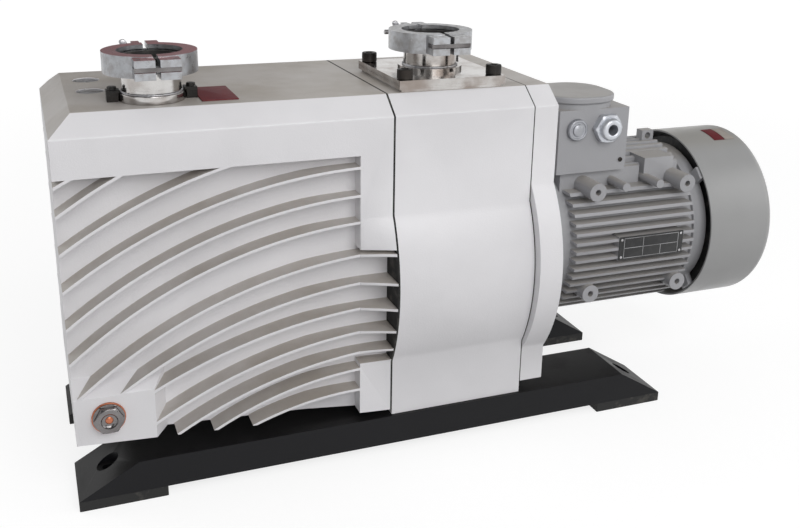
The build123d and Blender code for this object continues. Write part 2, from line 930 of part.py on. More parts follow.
def oil_pump():
    """Oil pump housing on the end plate, with its suction pipe."""
    body = rod_x(oil_pump_radius, oil_pump_left, end_left)
    x = oil_pump_left + oil_pump_length / 2
    body += rod_z(suction_pipe_radius, casing_bottom + suction_pipe_end, axis_z - oil_pump_radius / 2,
                  x, axis_y)
    body -= rod_z(suction_pipe_bore, 0, axis_z, x, axis_y)
    return body - rod_x(journal_radius + running_clearance, x, end_left)


def pump_rotor():
    """Pump shaft with both slotted rotors."""
    body = rod_x(journal_radius - running_clearance, oil_pump_left + oil_pump_length / 2 + face_clearance,
                 bulkhead_left)
    body += rod_x(shaft_radius, bulkhead_left, jaw_left)
    slot_half = vane_width / 2
    for x0, x1 in ((high_left, high_right), (low_left, low_right)):
        left, right = x0 + face_clearance, x1 - face_clearance
        body += rod_x(rotor_radius, left, right)
        for low, high in ((-cylinder_radius, -slot_floor), (slot_floor, cylinder_radius)):
            body -= block(left, right, axis_y + low, axis_y + high, axis_z - slot_half,
                          axis_z + slot_half)
    return body


def vane(x0, x1, side):
    """One vane, drawn in flush with its rotor."""
    half = vane_width / 2 - slot_clearance
    near, far = vane_inner, rotor_radius - vane_tip_gap
    return block(x0 + 2 * face_clearance, x1 - 2 * face_clearance,
                 axis_y + min(side * near, side * far), axis_y + max(side * near, side * far),
                 axis_z - half, axis_z + half)


def shaft_seal():
    """Lip seal ring in the bulkhead."""
    return tube_x(seal_radius, shaft_radius + running_clearance, bulkhead_left, bulkhead_right)


def exhaust_valve_leaf():
    """Thin leaf over the low-vacuum outlet."""
    seat = axis_z + valve_seat_height + leaf_gap
    return block(low_left + leaf_left_gap, low_right - leaf_right_gap,
                 valve_y() - 2 * valve_passage_radius, valve_y() + 2 * valve_passage_radius,
                 seat, seat + leaf_thickness)


def exhaust_valve_stop():
    """Bent stop above the leaf, standing beside it on the seat."""
    seat = axis_z + valve_seat_height
    front = valve_y() - 2 * valve_passage_radius
    back = valve_y() + 2 * valve_passage_radius
    top = seat + stop_lift + leaf_thickness
    foot = block(low_left, low_left + stop_thickness, front, back, seat, top + stop_thickness)
    arm = block(low_left, low_right - 2 * stop_thickness, front, back, top, top + stop_thickness)
    return foot + arm


def demister():
    """Exhaust oil filter: hollow cartridge that hangs from the roof, and its end cap."""
    top = roof - box_wall
    cartridge = rod_z(filter_radius, top - filter_length, top, exhaust_x, exhaust_y)
    cartridge -= rod_z(filter_bore, top - filter_length, top, exhaust_x, exhaust_y)
    cartridge -= rod_z(duct_bore, top - fin_root, top, exhaust_x, exhaust_y)
    cap = rod_z(filter_radius, top - filter_length - filter_cap, top - filter_length,
                exhaust_x, exhaust_y)
    return group([cartridge, cap])


def inlet_valve():
    """Disc with a guide stem that closes the inlet duct."""
    low = duct_floor + plug_gap
    body = rod_z(valve_disc_radius, low, low + valve_disc_thickness, inlet_x, inlet_y)
    return body + rod_z(valve_stem_radius, low - valve_stem_length, low, inlet_x, inlet_y)


def neck_points(base, mid):
    """Half section of a port neck with its clamp flange, as (radius, height) about mid."""
    rim_top, rim_low = -centring_half, -centring_half - flange_rim
    neck_top = rim_low - flange_taper * (flange_radius - neck_radius)
    return [(neck_bore, base - mid), (neck_radius, base - mid), (neck_radius, neck_top),
            (flange_radius, rim_low), (flange_radius, rim_top), (centring_tube, rim_top),
            (centring_tube, -centring_reach), (neck_bore, -centring_reach)]


def exhaust_port():
    """Exhaust neck with round base and clamp flange."""
    body = ring_z(neck_points(roof, exhaust_mid), exhaust_x, exhaust_y, exhaust_mid)
    base = rod_z(exhaust_base_radius, roof, roof + exhaust_base_height, exhaust_x, exhaust_y)
    return body + (base - rod_z(neck_bore, roof, roof + exhaust_base_height, exhaust_x, exhaust_y))


def exhaust_claws():
    """Claws with screws that press the exhaust base on the roof."""
    claws = []
    top = roof + exhaust_base_height
    for turn in claw_angles:
        foot = block(exhaust_base_radius + hole_clearance, claw_outer, -claw_width / 2,
                     claw_width / 2, roof, top + claw_top)
        lip = block(claw_inner, claw_outer, -claw_width / 2, claw_width / 2, top, top + claw_top)
        head = Pos(claw_screw_pitch, 0, top + claw_top) * extrude(
            RegularPolygon(claw_screw_radius, hexagon), claw_screw_height)
        claws.append(Pos(exhaust_x, exhaust_y, 0) * Rot(0, 0, turn) * (foot + lip + head))
    return group(claws)


def plate_screw_places():
    """Corner screws of the inlet plate."""
    return [(inlet_x + sx * plate_screw_x, inlet_y + sy * plate_screw_y)
            for sx in (-1, 1) for sy in (-1, 1)]


def inlet_port():
    """Inlet neck on a square plate."""
    body = ring_z(neck_points(roof, inlet_mid), inlet_x, inlet_y, inlet_mid)
    half_x, half_y, skirt = plate_length / 2, plate_width / 2, roof + plate_skirt
    base = block(inlet_x - half_x, inlet_x + half_x, inlet_y - half_y, inlet_y + half_y, skirt,
                 roof + plate_height)
    base += block(inlet_x - half_x + plate_skirt_inset, inlet_x + half_x - plate_skirt_inset,
                  inlet_y - half_y + plate_skirt_inset, inlet_y + half_y - plate_skirt_inset,
                  roof, skirt)
    top = roof + plate_height + inlet_base_height
    base += rod_z(inlet_base_radius, roof, top, inlet_x, inlet_y)
    base -= rod_z(neck_bore, roof, top, inlet_x, inlet_y)
    for x, y in plate_screw_places():
        base -= rod_z(screw_radius + screw_clearance, roof, top, x, y)
    return body + base


def inlet_plate_screws():
    """Four cap screws that hold the inlet plate."""
    screws = []
    for x, y in plate_screw_places():
        top = roof + plate_height
        head = rod_z(screw_head_radius, top, top + screw_head_height, x, y)
        head -= Pos(x, y, top + screw_head_height - screw_socket_depth) * extrude(
            RegularPolygon(screw_socket_radius, hexagon), screw_socket_depth)
        screws.append(head + rod_z(screw_radius, roof - casing_wall, top, x, y))
    return group(screws)


def clamp_ring(x, y, mid):
    """Whole clamp ring before it is split, with its tapered groove."""
    depth = clamp_rim + flange_taper * (clamp_groove - clamp_lip)
    rim = centring_half + flange_rim - flange_taper * (clamp_groove - flange_radius)
    low = rim + flange_taper * (clamp_groove - clamp_lip)
    return ring_z([(clamp_lip, -clamp_half_height), (clamp_radius, -clamp_half_height),
                   (clamp_radius, clamp_half_height), (clamp_lip, clamp_half_height),
                   (clamp_lip, depth), (clamp_groove, clamp_rim), (clamp_groove, -rim),
                   (clamp_lip, -low)], x, y, mid)


def clamp_half(x, y, mid, side):
    """Half ring with its link ear in front and its bolt ear behind; side -1 is the left half."""
    far = clamp_radius + bolt_ear_reach
    span = sorted((side * clamp_split, side * far))
    body = clamp_ring(x, y, mid) & block(x + span[0], x + span[1], y - far, y + far,
                                         mid - clamp_half_height, mid + clamp_half_height)
    tall = ear_half_height
    ear = sorted((side * link_ear_inner, side * (link_ear_inner + link_ear_width)))
    body += block(x + ear[0], x + ear[1], y - link_ear_reach, y - link_ear_root + ear_bite,
                  mid - tall, mid + tall) - rod_z(clamp_radius - ear_bite, mid - tall, mid + tall, x, y)
    body -= block(x + span[0], x + span[1], y - far, y - clamp_radius - nut_gap,
                  mid - link_half - link_slot, mid + link_half + link_slot)
    body -= rod_z(link_pin_radius, mid - tall, mid + tall, x + side * link_pin_offset,
                  y - link_pin_reach)
    slot = bolt_eye_half + link_slot
    inner, outer = bolt_ear_gap, bolt_ear_gap + bolt_ear_width
    ear = sorted((side * inner, side * outer))
    lug = block(x + ear[0], x + ear[1], y + link_ear_root - ear_bite, y + bolt_ear_reach,
                mid - tall, mid + tall) - rod_z(clamp_radius - ear_bite, mid - tall, mid + tall, x, y)
    if side < 0:
        lug = lug & rod_z(catch_ear_radius, mid - tall, mid + tall, x + bolt_pin_offset,
                          y + bolt_reach)
    lug -= block(x - far, x + far, y + clamp_radius + nut_gap, y + far, mid - slot, mid + slot)
    body += lug
    if side > 0:
        body += rod_z(link_pin_radius, mid - tall, mid + tall, x + bolt_pin_offset, y + bolt_reach)
    return body


def clamp_links():
    """Link of each clamp, with its two pins."""
    links = []
    tall = ear_half_height
    for x, y, mid in ((exhaust_x, exhaust_y, exhaust_mid), (inlet_x, inlet_y, inlet_mid)):
        bar = block(x - link_length / 2, x + link_length / 2, y - link_pin_reach - link_depth / 2,
                    y - link_pin_reach + link_depth / 2, mid - link_half, mid + link_half)
        for side in (-1, 1):
            bar += rod_z(link_pin_radius, mid - tall, mid + tall, x + side * link_pin_offset,
                         y - link_pin_reach)
        links.append(bar)
    return group(links)


def swing_bolt(x, y, mid):
    """Bolt with an eye on the pin of the right half, lying in the left half's slot."""
    pin_x, pin_y = x + bolt_pin_offset, y + bolt_reach
    body = rod_z(bolt_eye_radius, mid - bolt_eye_half, mid + bolt_eye_half, pin_x, pin_y)
    body += rod_x(bolt_rod_radius, pin_x - bolt_length, pin_x - bolt_eye_radius / 2, pin_y, mid)
    return body - rod_z(link_pin_radius + running_clearance, mid - 2 * bolt_eye_half,
                        mid + 2 * bolt_eye_half, pin_x, pin_y)


def wing_nut(x, y, mid):
    """Wing nut on the swing bolt, just clear of the slotted ear."""
    right = x + bolt_pin_offset - catch_ear_radius - nut_gap
    left = right - nut_length
    body = rod_x(nut_radius, left, right, y + bolt_reach, mid)
    body += block(left - wing_start / 2, right - wing_start, y + bolt_reach - wing_thickness / 2,
                  y + bolt_reach + wing_thickness / 2, mid - wing_reach, mid + wing_reach)
    return body - rod_x(bolt_rod_radius + running_clearance, left - nut_length, right, y + bolt_reach,
                        mid)


def port_seals():
    """Centring ring with its round sealing ring, in each port."""
    points = [(centring_bore, -centring_reach), (centring_tube, -centring_reach),
              (centring_tube, -centring_half), (centring_rim, -centring_half),
              (centring_rim, centring_half), (centring_tube, centring_half),
              (centring_tube, centring_reach), (centring_bore, centring_reach)]
    pieces = []
    for x, y, mid in ((exhaust_x, exhaust_y, exhaust_mid), (inlet_x, inlet_y, inlet_mid)):
        pieces.append(ring_z(points, x, y, mid))
        pieces.append(Pos(x, y, mid) * Torus(centring_rim + centring_half, centring_half))
    return group(pieces)


def roof_plug(y):
    """Screw plug sunk in the oil box roof, with a driver slot."""
    under = roof - plug_recess_depth + plug_gap
    body = rod_z(plug_head_radius, under, under + plug_head_height, plug_x, y)
    body += rod_z(plug_thread_radius, under - plug_thread_length, under, plug_x, y)
    top = under + plug_head_height
    return body - block(plug_x - plug_head_radius, plug_x + plug_head_radius,
                        y - plug_slot_width / 2, y + plug_slot_width / 2, top - plug_slot_depth, top)


def drain_plug():
    """Hexagon drain plug with its copper washer."""
    z = casing_bottom + drain_z
    face = -plug_gap
    washer = rod_y(drain_washer_radius, face - drain_washer_thickness, face, drain_x, z)
    washer -= rod_y(plug_thread_radius, face - drain_washer_thickness, face, drain_x, z)
    seat = face - drain_washer_thickness
    head = extrude(Plane.XZ.offset(-seat) * RegularPolygon(drain_head_flats / 2, hexagon,
                                                              major_radius=False),
                   amount=drain_head_height)
    body = Pos(drain_x, 0, z) * head + rod_y(plug_thread_radius, seat, drain_thread_length, drain_x, z)
    body -= rod_y(drain_dimple_radius, seat - drain_head_height,
                  seat - drain_head_height + drain_dimple_depth, drain_x, z)
    return group([body, washer])


def red_plates():
    """Bare plate on the roof and bare label on the fan cowl."""
    roof_plate = block(info_left, info_left + info_length, info_front, info_front + info_width,
                       roof, roof + plate_thickness)
    wedge = prism_x([(axis_y, axis_z), around_axis(2 * cowl_radius, label_low_angle),
                     around_axis(2 * cowl_radius, label_high_angle)],
                    cowl_left + cowl_length / 2, cowl_right - cowl_round)
    inner = cowl_radius + label_gap
    label = tube_x(inner + plate_thickness / 2, inner, cowl_left, cowl_right) & wedge
    return group([roof_plate, label])


def drive_end_shield():
    """Motor shield with the flange face, the bearing seat and a hollow back."""
    body = rod_x(motor_flange_radius, ring_right, ring_right + motor_flange_length)
    body += rod_x(shield_radius, ring_right, frame_left)
    body -= rod_x(bearing_bore + shaft_gap, ring_right, frame_left)
    seat = ring_right + shield_wall
    body -= rod_x(bearing_radius, seat, seat + bearing_length)
    body -= tube_x(frame_bore - fin_root, bearing_radius + box_wall, seat + fin_root, frame_left)
    body -= rod_x(bearing_radius + box_wall, seat + bearing_length, frame_left)
    for y, z in flange_screw_places():
        body -= rod_x(screw_radius, ring_right, ring_left + screw_length, y, z)
    return body - box_flat()


def box_flat():
    """Space above the machined flat that carries the terminal box."""
    return block(terminal_left - lid_overhang, terminal_left + terminal_length + lid_overhang,
                 terminal_y - lid_overhang, terminal_y + terminal_depth + lid_overhang,
                 terminal_bottom, terminal_bottom + terminal_height)


def motor_frame():
    """Finned motor frame with bosses, box pedestal, lifting lug and plate pad."""
    left, right = frame_left, frame_right
    body = rod_x(frame_root, left, right)
    reach = frame_tip + fin_root
    fin_cut = rod_x(frame_tip, left + frame_fin_margin, right - frame_fin_margin)
    half = frame_fin_thickness / 2
    slabs = None
    for index in range(frame_fin_count):
        z = axis_z - frame_fin_low + index * frame_fin_pitch
        slab = block(left, right, axis_y - reach, axis_y + reach, z - half, z + half)
        slabs = slab if slabs is None else slabs + slab
    for index in range(top_fin_count):
        y = axis_y + (index - (top_fin_count - 1) / 2) * frame_fin_pitch
        slabs += block(left, right, y - half, y + half, axis_z + top_fin_root, axis_z + reach)
    body += slabs & fin_cut
    for x in boss_x:
        for rise in (boss_high, -boss_low):
            z = axis_z + rise
            for side in (-1, 1):
                ends = sorted((axis_y + side * boss_face, axis_y + side * boss_root))
                body += rod_y(boss_radius, ends[0], ends[1], left + x, z)
                hole = sorted((axis_y + side * boss_face, axis_y + side * (boss_face - boss_hole_depth)))
                body -= rod_y(boss_hole_radius, hole[0], hole[1], left + x, z)
    for x in small_boss_x:
        body += rod_y(small_boss_radius, axis_y - boss_face + fin_root, axis_y - boss_root, left + x,
                      axis_z + boss_high + fin_root)
    body += block(left + pedestal_left, left + pedestal_left + pedestal_length,
                  axis_y - pedestal_front, axis_y + pedestal_back, axis_z + pedestal_root,
                  axis_z + pedestal_top)
    body += block(left + lift_pad_left, left + lift_pad_left + lift_pad_length,
                  axis_y - lift_pad_front, axis_y + lift_pad_back, axis_z + pedestal_root,
                  axis_z + lift_pad_top)
    body += block(left + lug_left, left + lug_left + lug_length,
                  axis_y - lug_offset - lug_width / 2, axis_y - lug_offset + lug_width / 2,
                  axis_z + pedestal_root, axis_z + lug_top)
    body -= rod_y(lug_hole, axis_y - lug_offset - lug_width, axis_y - lug_offset + lug_width,
                  left + lug_left + lug_length / 2, axis_z + lug_top - lug_hole_drop)
    body += block(left + name_left, left + name_left + name_length, axis_y - frame_tip,
                  axis_y - name_root, axis_z - name_height / 2, axis_z + name_height / 2)
    return body - rod_x(frame_bore, left, right) - box_flat()


def rear_shield():
    """Rear motor shield with bearing seat and four ears for the cowl."""
    left, right = frame_right, rear_right
    body = rod_x(rear_shield_radius, left, right)
    inner = cowl_radius - cowl_skin
    for index in range(ear_count):
        arm = block(right - ear_length, right, -inner * 2, 0, -ear_width / 2, ear_width / 2)
        arm = Pos(0, axis_y, axis_z) * Rot(ear_turn + index * 360 / ear_count, 0, 0) * arm
        body += arm & rod_x(inner, right - ear_length, right)
    body -= rod_x(bearing_radius, left, right - rear_wall)
    return body - rod_x(fan_shaft + shaft_gap, left, right)


def motor_stator():
    """Laminated core and both winding heads."""
    left = frame_left + core_start
    right = left + core_length
    return group([tube_x(frame_bore, core_bore, left, right),
                  tube_x(winding_outer, winding_inner, left - winding_length, left),
                  tube_x(winding_outer, winding_inner, right, right + winding_length)])


def motor_rotor():
    """Motor shaft with its rotor core."""
    left = frame_left + core_start
    front_seat = ring_right + shield_wall + bearing_length
    rear_seat = rear_right - rear_wall - bearing_length
    seat = bearing_bore - running_clearance
    body = rod_x(shaft_radius, motor_shaft_left, ring_right + shield_wall / 2)
    body += rod_x(seat, ring_right + shield_wall / 2, front_seat)
    body += rod_x(rotor_shaft, front_seat + face_clearance, rear_seat - face_clearance)
    body += rod_x(seat, front_seat, front_seat + face_clearance)
    body += rod_x(seat, rear_seat - face_clearance, rear_right - rear_wall)
    body += rod_x(fan_shaft, rear_right - rear_wall, rear_right + fan_shaft_reach)
    body += rod_x(core_bore - air_gap, left, left + core_length)
    return body


def motor_bearings():
    """Front and rear ball bearings, each as one grooved ring."""
    rings = []
    groove = (bearing_radius + bearing_bore) / 2
    for x in (ring_right + shield_wall, rear_right - rear_wall - bearing_length):
        ring = tube_x(bearing_radius, bearing_bore, x, x + bearing_length)
        for face in (x, x + bearing_length - fin_root):
            ring -= tube_x(groove + fin_root, groove - fin_root, face, face + fin_root)
        rings.append(ring)
    return group(rings)


def fan():
    """Radial fan on the motor's rear shaft end."""
    left = rear_right + fan_gap
    body = rod_x(fan_hub_radius, left, left + fan_hub_length)
    body += rod_x(fan_disc_radius, left, left + fan_disc_thickness)
    for index in range(fan_blade_count):
        blade = block(left, left + fan_blade_length, -fan_blade_radius, -fan_hub_radius / 2,
                      -fan_blade_thickness / 2, fan_blade_thickness / 2)
        body += Pos(0, axis_y, axis_z) * Rot(index * 360 / fan_blade_count, 0, 0) * blade
    return body - rod_x(fan_shaft, left - fan_gap, left + 2 * fan_hub_length)


def fan_cowl():
    """Fan cowl: round cap with a rounded end and a ring grille."""
    def cap(radius, end, rounding):
        face = make_face([
            Line((cowl_left, 0), (cowl_left, radius)),
            Line((cowl_left, radius), (end - rounding, radius)),
            RadiusArc((end - rounding, radius), (end, radius - rounding), rounding),
            Line((end, radius - rounding), (end, 0)),
            Line((end, 0), (cowl_left, 0)),
        ])
        return Pos(0, axis_y, axis_z) * revolve(face, Axis.X)

    body = cap(cowl_radius, cowl_right, cowl_round)
    body -= cap(cowl_radius - cowl_skin, cowl_right - cowl_skin, cowl_round - cowl_skin)
    slots = None
    for index in range(grille_count):
        inner = grille_first + index * grille_pitch
        slot = tube_x(inner + grille_slot, inner, cowl_right - 2 * cowl_skin, cowl_right + cowl_skin)
        slots = slot if slots is None else slots + slot
    long = 2 * cowl_radius
    for turn in quarter_angles[:2]:
        bar = block(cowl_left, cowl_right + long, -grille_bar / 2, grille_bar / 2, -long, long)
        slots -= Pos(0, axis_y, axis_z) * Rot(turn, 0, 0) * bar
    return body - slots


def oval_block(margin, z0, z1):
    """Block with well rounded corners over the terminal box; a margin makes it smaller."""
    body = block(terminal_left + margin, terminal_left + terminal_length - terminal_step - margin,
                 terminal_y + margin, terminal_y + terminal_depth - margin, z0, z1)
    return fillet(body.edges().filter_by(Axis.Z), lid_corner - lid_overhang - margin)


def terminal_box():
    """Open terminal box with its gland holes."""
    left, right = terminal_left, terminal_left + terminal_length
    front, back = terminal_y, terminal_y + terminal_depth
    low = terminal_bottom
    top = low + terminal_height
    wall = terminal_wall
    body = block(left, right, front, back, low, top)
    body += oval_block(0, low + wall, top + terminal_neck)
    body -= block(left + wall, right - wall, front + wall, back - wall, low + wall, top - wall)
    body -= oval_block(wall, low + wall, top + terminal_neck)
    for x in (plug_gland_x, cable_gland_x):
        body -= rod_y(gland_thread_radius, front - wall, front + wall, left + x, low + gland_height)
    return body


def terminal_lid():
    """Lid of the terminal box."""
    low = terminal_bottom + terminal_height + terminal_neck
    return oval_block(-lid_overhang, low, low + lid_height)


def cable_glands():
    """Blind plug and open cable gland in the front of the terminal box."""
    front, z = terminal_y, terminal_bottom + gland_height
    wall = terminal_wall
    x = terminal_left + plug_gland_x
    blind = rod_y(plug_gland_radius, front - plug_gland_length, front, x, z)
    blind += rod_y(gland_thread_radius, front, front + wall, x, z)
    x = terminal_left + cable_gland_x
    mouth = front - cable_gland_length
    open_gland = Pos(x, 0, z) * extrude(
        Plane.XZ.offset(-front) * RegularPolygon(cable_gland_radius, hexagon),
        amount=cable_gland_length / 2)
    open_gland += rod_y(cable_gland_dome, mouth, front, x, z)
    open_gland += rod_y(gland_thread_radius, front, front + wall, x, z)
    open_gland -= rod_y(cable_hole_radius, mouth - wall, front + 2 * wall, x, z)
    return group([blind, open_gland])


def nameplate():
    """Bare plate on the motor frame."""
    left = frame_left + name_left
    face = axis_y - frame_tip
    return block(left, left + name_length, face - plate_thickness, face, axis_z - name_height / 2,
                 axis_z + name_height / 2)


def jaw_sector(radius, inner, x0, x1, middle, angle):
    """Part of a ring between two radii, round the shaft."""
    ring = tube_x(radius, inner, x0, x1)
    far = 2 * (radius + inner)
    a, b = math.radians(middle - angle / 2), math.radians(middle + angle / 2)
    wedge = prism_x([(axis_y, axis_z), (axis_y + far * math.cos(a), axis_z + far * math.sin(a)),
                     (axis_y + far * math.cos(b), axis_z + far * math.sin(b))], x0, x1)
    return ring & wedge


def pump_hub():
    """Coupling half on the pump shaft, with three jaws."""
    body = tube_x(hub_radius, shaft_radius, hub_left, jaw_left)
    for index in range(jaw_count):
        body += jaw_sector(hub_radius, shaft_radius, jaw_left, jaw_left + jaw_length, index * jaw_step,
                           jaw_angle)
    return body


def motor_hub():
    """Coupling half on the motor shaft, with three jaws between the other ones."""
    body = rod_x(hub_radius, motor_hub_left, motor_hub_right)
    body -= rod_x(shaft_radius, motor_shaft_left, motor_hub_right)
    for index in range(jaw_count):
        body += jaw_sector(hub_radius, shaft_radius, motor_hub_left - jaw_length, motor_hub_left,
                           (index + 1 / 2) * jaw_step, jaw_angle)
    return body


def spider():
    """Elastic star between the jaws, carried by the motor's half."""
    left = jaw_left + jaw_clearance
    body = rod_x(hub_radius - jaw_clearance, left, motor_hub_left)
    wide = jaw_angle + 2 * math.degrees(jaw_clearance / shaft_radius)
    for index in range(jaw_count):
        body -= jaw_sector(hub_radius, shaft_radius - jaw_clearance, left,
                           motor_hub_left, index * jaw_step, wide)
        body -= jaw_sector(hub_radius, shaft_radius, left, motor_hub_left,
                           (index + 1 / 2) * jaw_step, jaw_angle)
    return body


def main():
    """Build and write every piece."""
    os.makedirs("parts", exist_ok=True)
    exhaust = (exhaust_x, exhaust_y, exhaust_mid)
    inlet = (inlet_x, inlet_y, inlet_mid)
    save(rail(rail_front_y()), "base_rail_front")
    save(rail(rail_back_y()), "base_rail_rear")
    save(foot_pads(), "foot_pads")
    save(base_bolts(), "base_bolts")
    save(oil_box(), "oil_box")
    save(seam_gaskets(), "seam_gaskets")
    save(box_tie_screws(), "box_tie_screws")
    save(pump_casing(), "pump_casing")
    save(cover_ring(), "cover_ring")
    save(lantern_screws(), "lantern_screws")
    save(drive_side_plate(), "drive_side_plate")
    save(high_stage(), "high_stage_cylinder")
    save(centre_plate(), "centre_plate")
    save(low_stage(), "low_stage_cylinder")
    save(end_plate(), "end_plate")
    save(module_tie_rods(), "module_tie_rods")
    save(oil_pump(), "oil_pump")
    save(pump_rotor(), "pump_rotor")
    save(vane(high_left, high_right, -1), "high_vane_front")
    save(vane(high_left, high_right, 1), "high_vane_rear")
    save(vane(low_left, low_right, -1), "low_vane_front")
    save(vane(low_left, low_right, 1), "low_vane_rear")
    save(shaft_seal(), "shaft_seal")
    save(exhaust_valve_leaf(), "exhaust_valve_leaf")
    save(exhaust_valve_stop(), "exhaust_valve_stop")
    save(demister(), "demister")
    save(inlet_valve(), "inlet_valve")
    save(exhaust_port(), "exhaust_port")
    save(exhaust_claws(), "exhaust_claws")
    save(inlet_port(), "inlet_port")
    save(inlet_plate_screws(), "inlet_plate_screws")
    save(clamp_half(*exhaust, -1), "exhaust_clamp_left")
    save(clamp_half(*exhaust, 1), "exhaust_clamp_right")
    save(swing_bolt(*exhaust), "exhaust_swing_bolt")
    save(wing_nut(*exhaust), "exhaust_wing_nut")
    save(clamp_half(*inlet, -1), "inlet_clamp_left")
    save(clamp_half(*inlet, 1), "inlet_clamp_right")
    save(swing_bolt(*inlet), "inlet_swing_bolt")
    save(wing_nut(*inlet), "inlet_wing_nut")
    save(clamp_links(), "clamp_links")
    save(port_seals(), "port_seals")
    save(roof_plug(filler_y), "oil_filler_plug")
    save(roof_plug(ballast_y), "gas_ballast_plug")
    save(drain_plug(), "drain_plug")
    save(red_plates(), "red_plates")
    save(drive_end_shield(), "drive_end_shield")
    save(motor_frame(), "motor_frame")
    save(rear_shield(), "rear_shield")
    save(motor_stator(), "motor_stator")
    save(motor_rotor(), "motor_rotor")
    save(motor_bearings(), "motor_bearings")
    save(fan(), "fan")
    save(fan_cowl(), "fan_cowl")
    save(terminal_box(), "terminal_box")
    save(terminal_lid(), "terminal_lid")
    save(cable_glands(), "cable_glands")
    save(nameplate(), "motor_nameplate")
    save(pump_hub(), "pump_hub")
    save(motor_hub(), "motor_hub")
    save(spider(), "coupling_spider")


if __name__ == "__main__":
    main()
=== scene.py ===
"""Looks of an oil-sealed rotary vane vacuum pump: finishes, detail pieces, studio and camera.

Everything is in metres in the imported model's frame: +X runs from the oil box to the motor, +Y
away from the camera's side, +Z up, and the origin is the centre of the base holes on the floor.
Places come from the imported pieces' boxes; only sizes of surface detail are written here.
"""
import json
import logging
import math
from dataclasses import dataclass, replace
from enum import Enum
from typing import Iterable, Sequence

import bmesh
import bpy
import numpy as np
from mathutils import Matrix, Vector


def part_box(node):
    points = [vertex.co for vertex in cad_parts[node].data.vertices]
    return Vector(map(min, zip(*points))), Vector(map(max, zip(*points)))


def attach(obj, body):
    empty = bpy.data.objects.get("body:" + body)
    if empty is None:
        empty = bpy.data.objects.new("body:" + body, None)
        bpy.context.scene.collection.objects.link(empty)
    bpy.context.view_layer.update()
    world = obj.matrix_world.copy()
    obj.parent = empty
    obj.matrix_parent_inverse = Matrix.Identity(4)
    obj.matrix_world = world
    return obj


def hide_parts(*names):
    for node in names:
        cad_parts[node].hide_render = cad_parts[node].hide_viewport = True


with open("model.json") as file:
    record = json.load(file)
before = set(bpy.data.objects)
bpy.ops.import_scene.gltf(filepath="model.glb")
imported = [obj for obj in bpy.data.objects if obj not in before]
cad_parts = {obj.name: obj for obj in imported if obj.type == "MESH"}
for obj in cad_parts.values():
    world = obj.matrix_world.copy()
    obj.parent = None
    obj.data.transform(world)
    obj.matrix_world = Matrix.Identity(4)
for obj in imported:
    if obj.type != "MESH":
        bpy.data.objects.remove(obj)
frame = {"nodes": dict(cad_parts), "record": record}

LOG = logging.getLogger("vacuum_pump")
Colour = tuple[float, float, float]
MM = 0.001
HEIGHT_RANGE = (0.2, 0.8)
WHITE: Colour = (1.0, 1.0, 1.0)
SHARP_BEND = 35.0
NODES: dict[str, bpy.types.Object] = frame["nodes"]
BODY_OF: dict[str, str] = {
    node: body
    for body, nodes in frame["record"]["behaviour"]["bodies"].items()
    for node in nodes
}


class Axis(Enum):
    """Row axes, as the index of the coordinate that runs along them."""

    X = 0
    Y = 1
    Z = 2


class Effect(Enum):
    """Shader node groups that several finishes share."""

    GRAIN = "surface_grain"
    TOP_TINT = "settled_dust"
    SMUDGE = "handling_smudges"
    LINES = "tool_lines"
    STAIN = "soft_stain"


